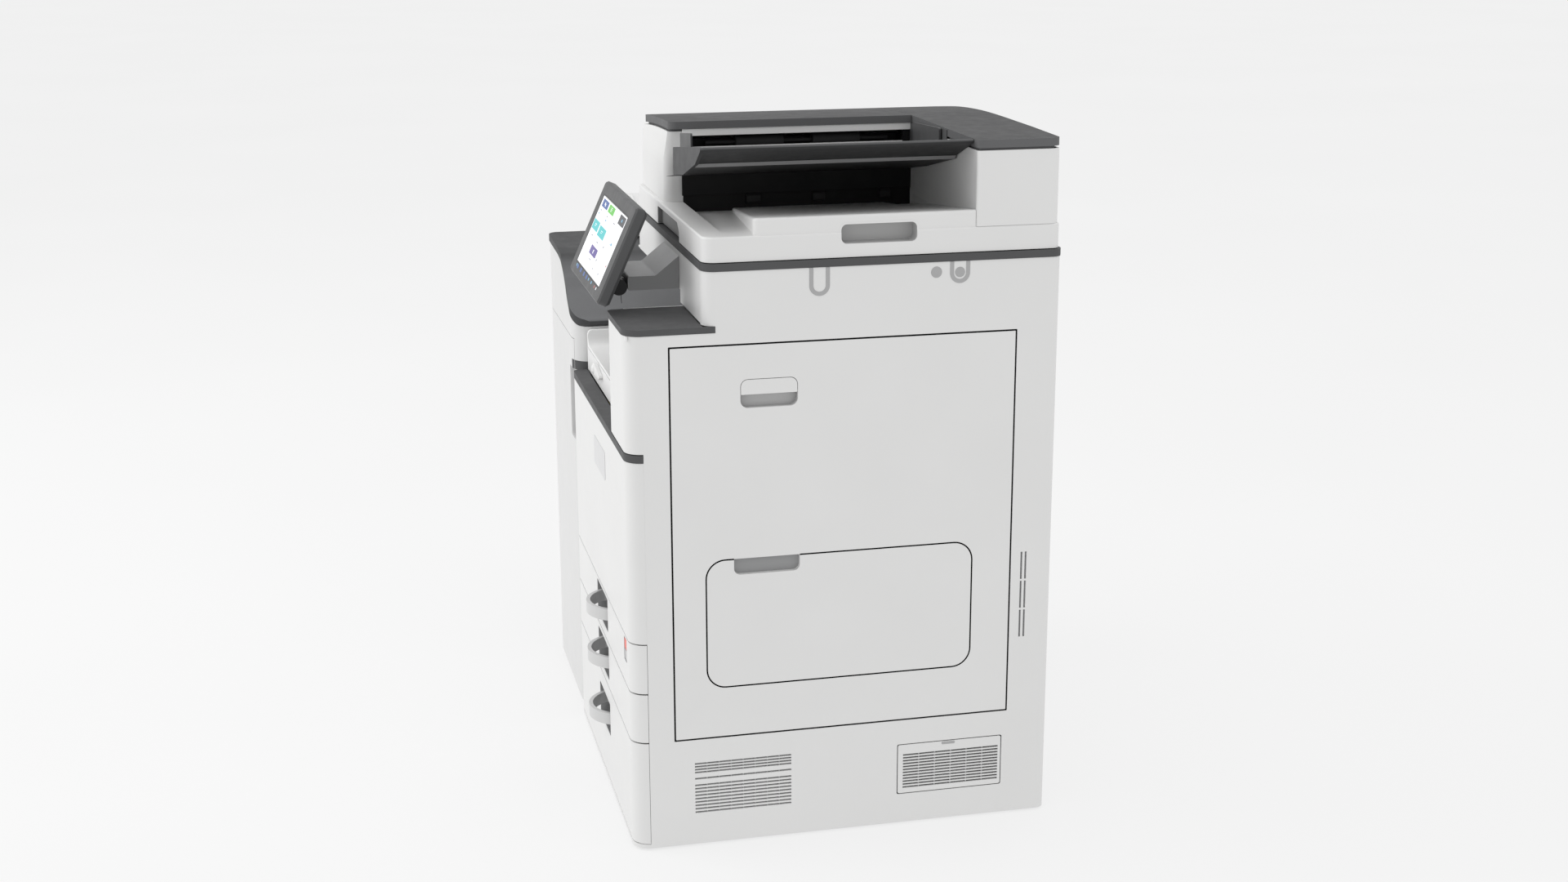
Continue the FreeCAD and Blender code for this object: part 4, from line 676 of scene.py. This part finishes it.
# shallow moulded line near the middle of the delivery deck
bm = bmesh.new()
sl = (1003.0 - 963.9) / 352.0
zz = lambda x: 963.9 + (x + 355) * sl
for (y0, y1, x0, x1) in ((268, 350, -66, -61),):
    add_prism(bm, [(x0, zz(x0) - 0.3), (x1, zz(x1) - 0.3), (x1, zz(x1) + 0.12), (x0, zz(x0) + 0.12)], "xz", y0, y1)
finish_mesh("delivery_deck_line", bm, M["cap"], F, 0.0)
liner("feeder_lift_pocket_liner", (333.0, 451.5, 959.2, 988.6), 9.0, "yz", -2.6, -27.5, 0.3, M["pocket"], F)

boxes("feeder_entry_end", [(-354.95, -354.3, 531.0, 544.9, 1062.2, 1084.1)], M["deep"], F, 0)
# very dark sheet under the document tray: painted shade of its underside
bm = bmesh.new()
add_prism(bm, [(-343.5, 1021.6), (-249, 1037.1), (-100.8, 1068.0), (-100.8, 1067.6), (-249, 1036.7), (-343.5, 1021.2)], "xz", 129, 541)
finish_mesh("document_tray_underplate", bm, M["under"], "document_tray")

# ------------------------------------------- black strips in the front gaps: painted shade
for n, (z0, z1) in enumerate(((345.22, 346.9), (263.02, 265.0), (181.32, 183.3))):
    boxes("front_gap_painted_shade_%d" % (n + 1), [(-577, -31, 3.3, 6.0, z0, z1)], M["black_soft"], "drawer_%d" % (n + 1), 0)

# -------------------------------------------------------------- finisher
# grey lining of the finisher grip pocket and door notch: painted shade of their white walls
boxes("finisher_grip_back_painted_shade", [(-612.3, -598.8, 22.5, 22.96, 515.4, 644.6), (-655.8, -613.2, 24.45, 24.95, 512.5, 647.5)], M["fin_grip"], C, 0)
g_out = [(-613.2, 515.03)] + [(x, z) for (x, z) in reversed(rr(-655.97, -640, 515.03, 644.97, [6, 0, 0, 6])) if x < -640.1] + [(-613.2, 644.97)]
g_out = [(-613.2, 515.03)] + [(-649.97, 515.03)] + [(-649.97 - 6 * math.sin(math.radians(a)), 521.03 - 6 * math.cos(math.radians(a))) for a in range(15, 91, 15)] + \
        [(-649.97 - 6 * math.cos(math.radians(a)), 638.97 + 6 * math.sin(math.radians(a))) for a in range(0, 91, 15)] + [(-613.2, 644.97)]
g_in = [(-613.2, 515.5)] + [(-649.97, 515.5)] + [(-649.97 - 5.53 * math.sin(math.radians(a)), 521.03 - 5.53 * math.cos(math.radians(a))) for a in range(15, 91, 15)] + \
       [(-649.97 - 5.53 * math.cos(math.radians(a)), 638.97 + 5.53 * math.sin(math.radians(a))) for a in range(0, 91, 15)] + [(-613.2, 644.5)]
band("finisher_door_notch_painted_shade", g_in, g_out, "xz", 5.6, 23.9, M["fin_grip"], "finisher_door", closed=False)
boxes("finisher_door_gap", [(-612.9, -611.9, 7.2, 22, 13.5, 514.5), (-612.9, -611.9, 7.2, 22, 645.6, 700)], M["white_fin"], C, 0)
# dark bridge band round the rounded front corner, level with the front strip


def corner(r, x0, x1, n=14):
    cx, cy = -626.5, 39.0
    pts = []
    for i in range(n + 1):
        x = x0 + (x1 - x0) * i / n
        dx = min(x - cx, r)
        y = cy - (math.sqrt(max(r * r - dx * dx, 0.0)) if dx > 0 else r)
        pts.append((x, y))
    return pts


xs = [-611.3, -606, -601, -597, -594.5, -592.5, -591.2, -590.6]
inn = [(x - 0.0, 39.0 - math.sqrt(max(35.9 ** 2 - (x + 626.5) ** 2, 0.0))) for x in xs] + [(-590.6, 46)]
outr = []
for (x, y) in inn[:-1]:
    d = math.hypot(x + 626.5, y - 39.0)
    outr.append((-626.5 + (x + 626.5) * 36.5 / d, 39.0 + (y - 39.0) * 36.5 / d))
outr.append((-590.0, 46))
band("finisher_bridge_band", inn, outr, "xy", 645.6, 662.0, M["dark"], C, closed=False)
inn = [(-624, 3.05)] + corner(35.95, -622, -613.3, 6)[1:]
outr = [(-624, 2.5)] + [(x, y - 0.55) for (x, y) in corner(35.95, -622, -613.3, 6)[1:]]
band("finisher_door_band", inn, outr, "xy", 645.6, 662.0, M["dark"], "finisher_door", closed=False)

# ------------------------------------------------------------------ rear
items = []
for (x, z) in ((-566, 20), (-566, 300), (-566, 600), (-566, 832), (-300, 20), (-300, 836), (-28, 20), (-28, 300), (-28, 600), (-28, 832)):
    items.append(([(0, 684.9), (3.6, 684.9), (3.6, 685.5), (3.0, 686.0), (1.2, 686.0), (0.9, 685.5), (0, 685.4)], "y", (x, z)))
lathes("rear_cover_screws", items, M["steel"], C, 20)
boxes("rear_louvre_mesh", [(-545, -395, 680.4, 681.4, 414, 502), (-185, -55, 680.4, 681.4, 494, 568)], M["black_soft"], C, 0)
prism("rear_label_blank", rr(-400, -300, 120, 180, 3), "xz", 684.98, 685.25, M["label"], C, 0)
bm = bmesh.new()
add_band(bm, rr(-549, -533, 331, 345, 0.8), rr(-553, -529, 327, 349, 1.6), "xz", 684.95, 686.0)
add_prism(bm, rr(-549, -533, 331, 345, 0.8), "xz", 684.95, 685.1)
add_band(bm, rr(-549, -541, 303, 312, 0.8), rr(-553, -537, 300, 315, 1.6), "xz", 684.95, 686.0)
add_prism(bm, rr(-549, -541, 303, 312, 0.8), "xz", 684.95, 685.1)
finish_mesh("rear_ports", bm, M["black"], C, 0.0)
cpts = arc(-579, 677, 8, 180, 90, 8) + [(-575.7, 685), (-575.7, 682)] + arc(-579, 677, 5, 90, 180, 8) + [(-584, 676.2), (-587, 676.2)]
prism("rear_corner_filler", cpts, "xy", 650.5, 844, M["white"], C, 0)

# --------------------------------------------------- left side of finisher
items = []
for z in (652, 809):
    for y in (170, 260, 350, 440):
        items.append(([(0, y), (7.0, y), (7.4, y + 1), (7.4, y + 19), (7.0, y + 20), (0, y + 20)], "y", (-903.5, z)))
lathes("finisher_exit_rollers", items, M["feedrub"], C, 20)
lathes("finisher_exit_shafts", [([(0, 130), (2.5, 130), (2.5, 500), (0, 500)], "y", (-903.5, z)) for z in (652, 809)], M["rod"], C, 14)
bm = bmesh.new()
for k in range(6):
    y = 160 + 60 * k
    add_prism(bm, [(-935, 602.7), (-1138, 646.2), (-1138, 647.4), (-1132, 647.7), (-939, 604.6), (-935, 603.2)], "xz", y, y + 3)
finish_mesh("shift_tray_ribs", bm, M["dark"], "shift_tray", 0.4)
bm = bmesh.new()
for k in range(6):
    y = 170 + 60 * k
    add_prism(bm, [(-832, 851.6), (-975, 896.4), (-975, 897.6), (-970, 898.2), (-836, 854.4), (-832, 852.4)], "xz", y, y + 3)
finish_mesh("proof_tray_ribs", bm, M["white_sat"], C, 0.4)

# -------------------------------------------------------------- interior
for nm, mk, x in (("yellow", "cap_y", -480), ("magenta", "cap_m", -380), ("cyan", "cap_c", -280), ("black", "cap_k", -180)):
    bm = bmesh.new()
    add_prism(bm, rr(x - 28, x + 28, 596, 626, 7), "xz", 45.6, 47.9)
    add_prism(bm, rr(x - 9, x + 9, 606, 616, 4), "xz", 43.2, 45.6)
    finish_mesh("toner_cap_" + nm, bm, M[mk], C, 0.7)
bm = bmesh.new()
add_lathe(bm, [(0, 92), (13, 92), (14, 93.5), (14, 99.6), (0, 99.6)], "y", (-477, 544.6), 26)
add_prism(bm, [(-483, 546), (-471, 546), (-469, 575), (-472, 580), (-482, 580), (-485, 575)], "xz", 86, 92)
add_lathe(bm, [(0, 92), (13, 92), (14, 93.5), (14, 99.6), (0, 99.6)], "y", (-157, 544.6), 26)
finish_mesh("belt_release_lever", bm, M["green"], C, 0.6)
items = []
for n, (b0, b1) in enumerate(((270.0, 340.0), (188.0, 258.0), (40.0, 176.0))):
    bn = "drawer_%d" % (n + 1)
    boxes("tray_%d_lift_plate" % (n + 1), [(-546, -70, 60, 520, b0 + 3.2, b0 + 4.4), (-66, -60, 80, 500, b0 + 2.1, b0 + 7)], M["steel"], bn, 0.3)
    boxes("tray_%d_side_guides" % (n + 1), [(-420, -340, 66, 69, b0 + 4.5, b0 + 42), (-420, -340, 69, 84, b0 + 4.5, b0 + 6),
                                           (-420, -340, 500, 503, b0 + 4.5, b0 + 42), (-420, -340, 485, 500, b0 + 4.5, b0 + 6)], M["green"], bn, 0.5)
lathes("scan_carriage_lamp", [([(0, 215), (2.6, 215), (2.6, 605), (0, 605)], "y", (-514, 925.4))], M["page"], "scan_carriage", 16)

# cable from the panel joint down to the cover beneath it
bm = bmesh.new()
for (y0, z0, y1, z1) in ((35.6, 862.0, 36.6, 852.0), (36.6, 852.0, 37.3, 838.0), (37.3, 838.0, 37.6, 833.0)):
    add_prism(bm, [(y0 - 0.5, z0), (y0 + 0.5, z0), (y1 + 0.5, z1), (y1 - 0.5, z1)], "yz", -257.6, -256.4)
finish_mesh("panel_cable", bm, M["black"], C, 0.0)
boxes("rear_gap_backing", [(-30, -8, 679, 680, 846, 924)], M["white"], C, 0)

# ------------------------------------------------- floor, light and camera
def stage_floor():
    bm = bmesh.new()
    r = 70.0
    v = [bm.verts.new((x, y, -0.0008)) for (x, y) in ((-r, -r), (r, -r), (r, r), (-r, r))]
    bm.faces.new(v)
    me = bpy.data.meshes.new("studio_floor")
    bm.to_mesh(me)
    bm.free()
    m, nt, b, tc = nodes_of("studio_floor_paper")
    c = ramp(nt, noise(nt, tc.outputs["Object"], 0.8, 2.0), 0.3, 0.7, (0.215, 0.215, 0.215), (0.225, 0.225, 0.225))
    nt.links.new(c, b.inputs["Base Color"])
    b.inputs["Roughness"].default_value = 0.9
    b.inputs["Specular IOR Level"].default_value = 0.0
    b.inputs["Emission Color"].default_value = (1, 1, 1, 1)
    b.inputs["Emission Strength"].default_value = FLOOR_GLOW
    me.materials.append(m)
    ob = bpy.data.objects.new("studio_floor", me)
    bpy.context.scene.collection.objects.link(ob)


FLOOR_GLOW = 0.70
WORLD = 0.80
stage_floor()
w = bpy.data.worlds.new("studio")
bpy.context.scene.world = w
w.use_nodes = True
bg = w.node_tree.nodes["Background"]
bg.inputs[0].default_value = (1, 1, 1, 1)
bg.inputs[1].default_value = WORLD


def area(name, loc, target, size, watts, col=(1, 1, 1)):
    l = bpy.data.lights.new(name, "AREA")
    l.shape = "RECTANGLE"
    l.size, l.size_y = size
    l.energy = watts
    l.color = col
    ob = bpy.data.objects.new(name, l)
    ob.location = loc
    d = Vector(target) - Vector(loc)
    ob.rotation_mode = "QUATERNION"
    ob.rotation_quaternion = d.to_track_quat("-Z", "Y")
    bpy.context.scene.collection.objects.link(ob)
    return ob


area("key_front", (-1.2, -4.2, 3.0), (0.0, 0.0, 0.7), (3.0, 3.0), 70)
area("top_soft", (0.6, 0.2, 4.4), (0.0, 0.0, 0.8), (3.4, 3.4), 30)

cam = bpy.data.cameras.new("photo_camera")
cam.sensor_width = 36.0
cam.lens = 47.90
cam.clip_start, cam.clip_end = 0.05, 200.0
co = bpy.data.objects.new("photo_camera", cam)
bpy.context.scene.collection.objects.link(co)
az, pt_, roll = math.radians(76.752), math.radians(15.251), math.radians(-0.127)
fwd = Vector((-math.sin(az) * math.cos(pt_), math.cos(az) * math.cos(pt_), -math.sin(pt_)))
right = fwd.cross(Vector((0, 0, 1))).normalized()
up = right.cross(fwd)
right, up = right * math.cos(roll) + up * math.sin(roll), up * math.cos(roll) - right * math.sin(roll)
co.matrix_world = Matrix((
    (right.x, up.x, -fwd.x, 3.56502),
    (right.y, up.y, -fwd.y, -0.790656),
    (right.z, up.z, -fwd.z, 1.497527),
    (0, 0, 0, 1)))
bpy.context.scene.camera = co
bpy.context.scene.view_settings.view_transform = "Standard"
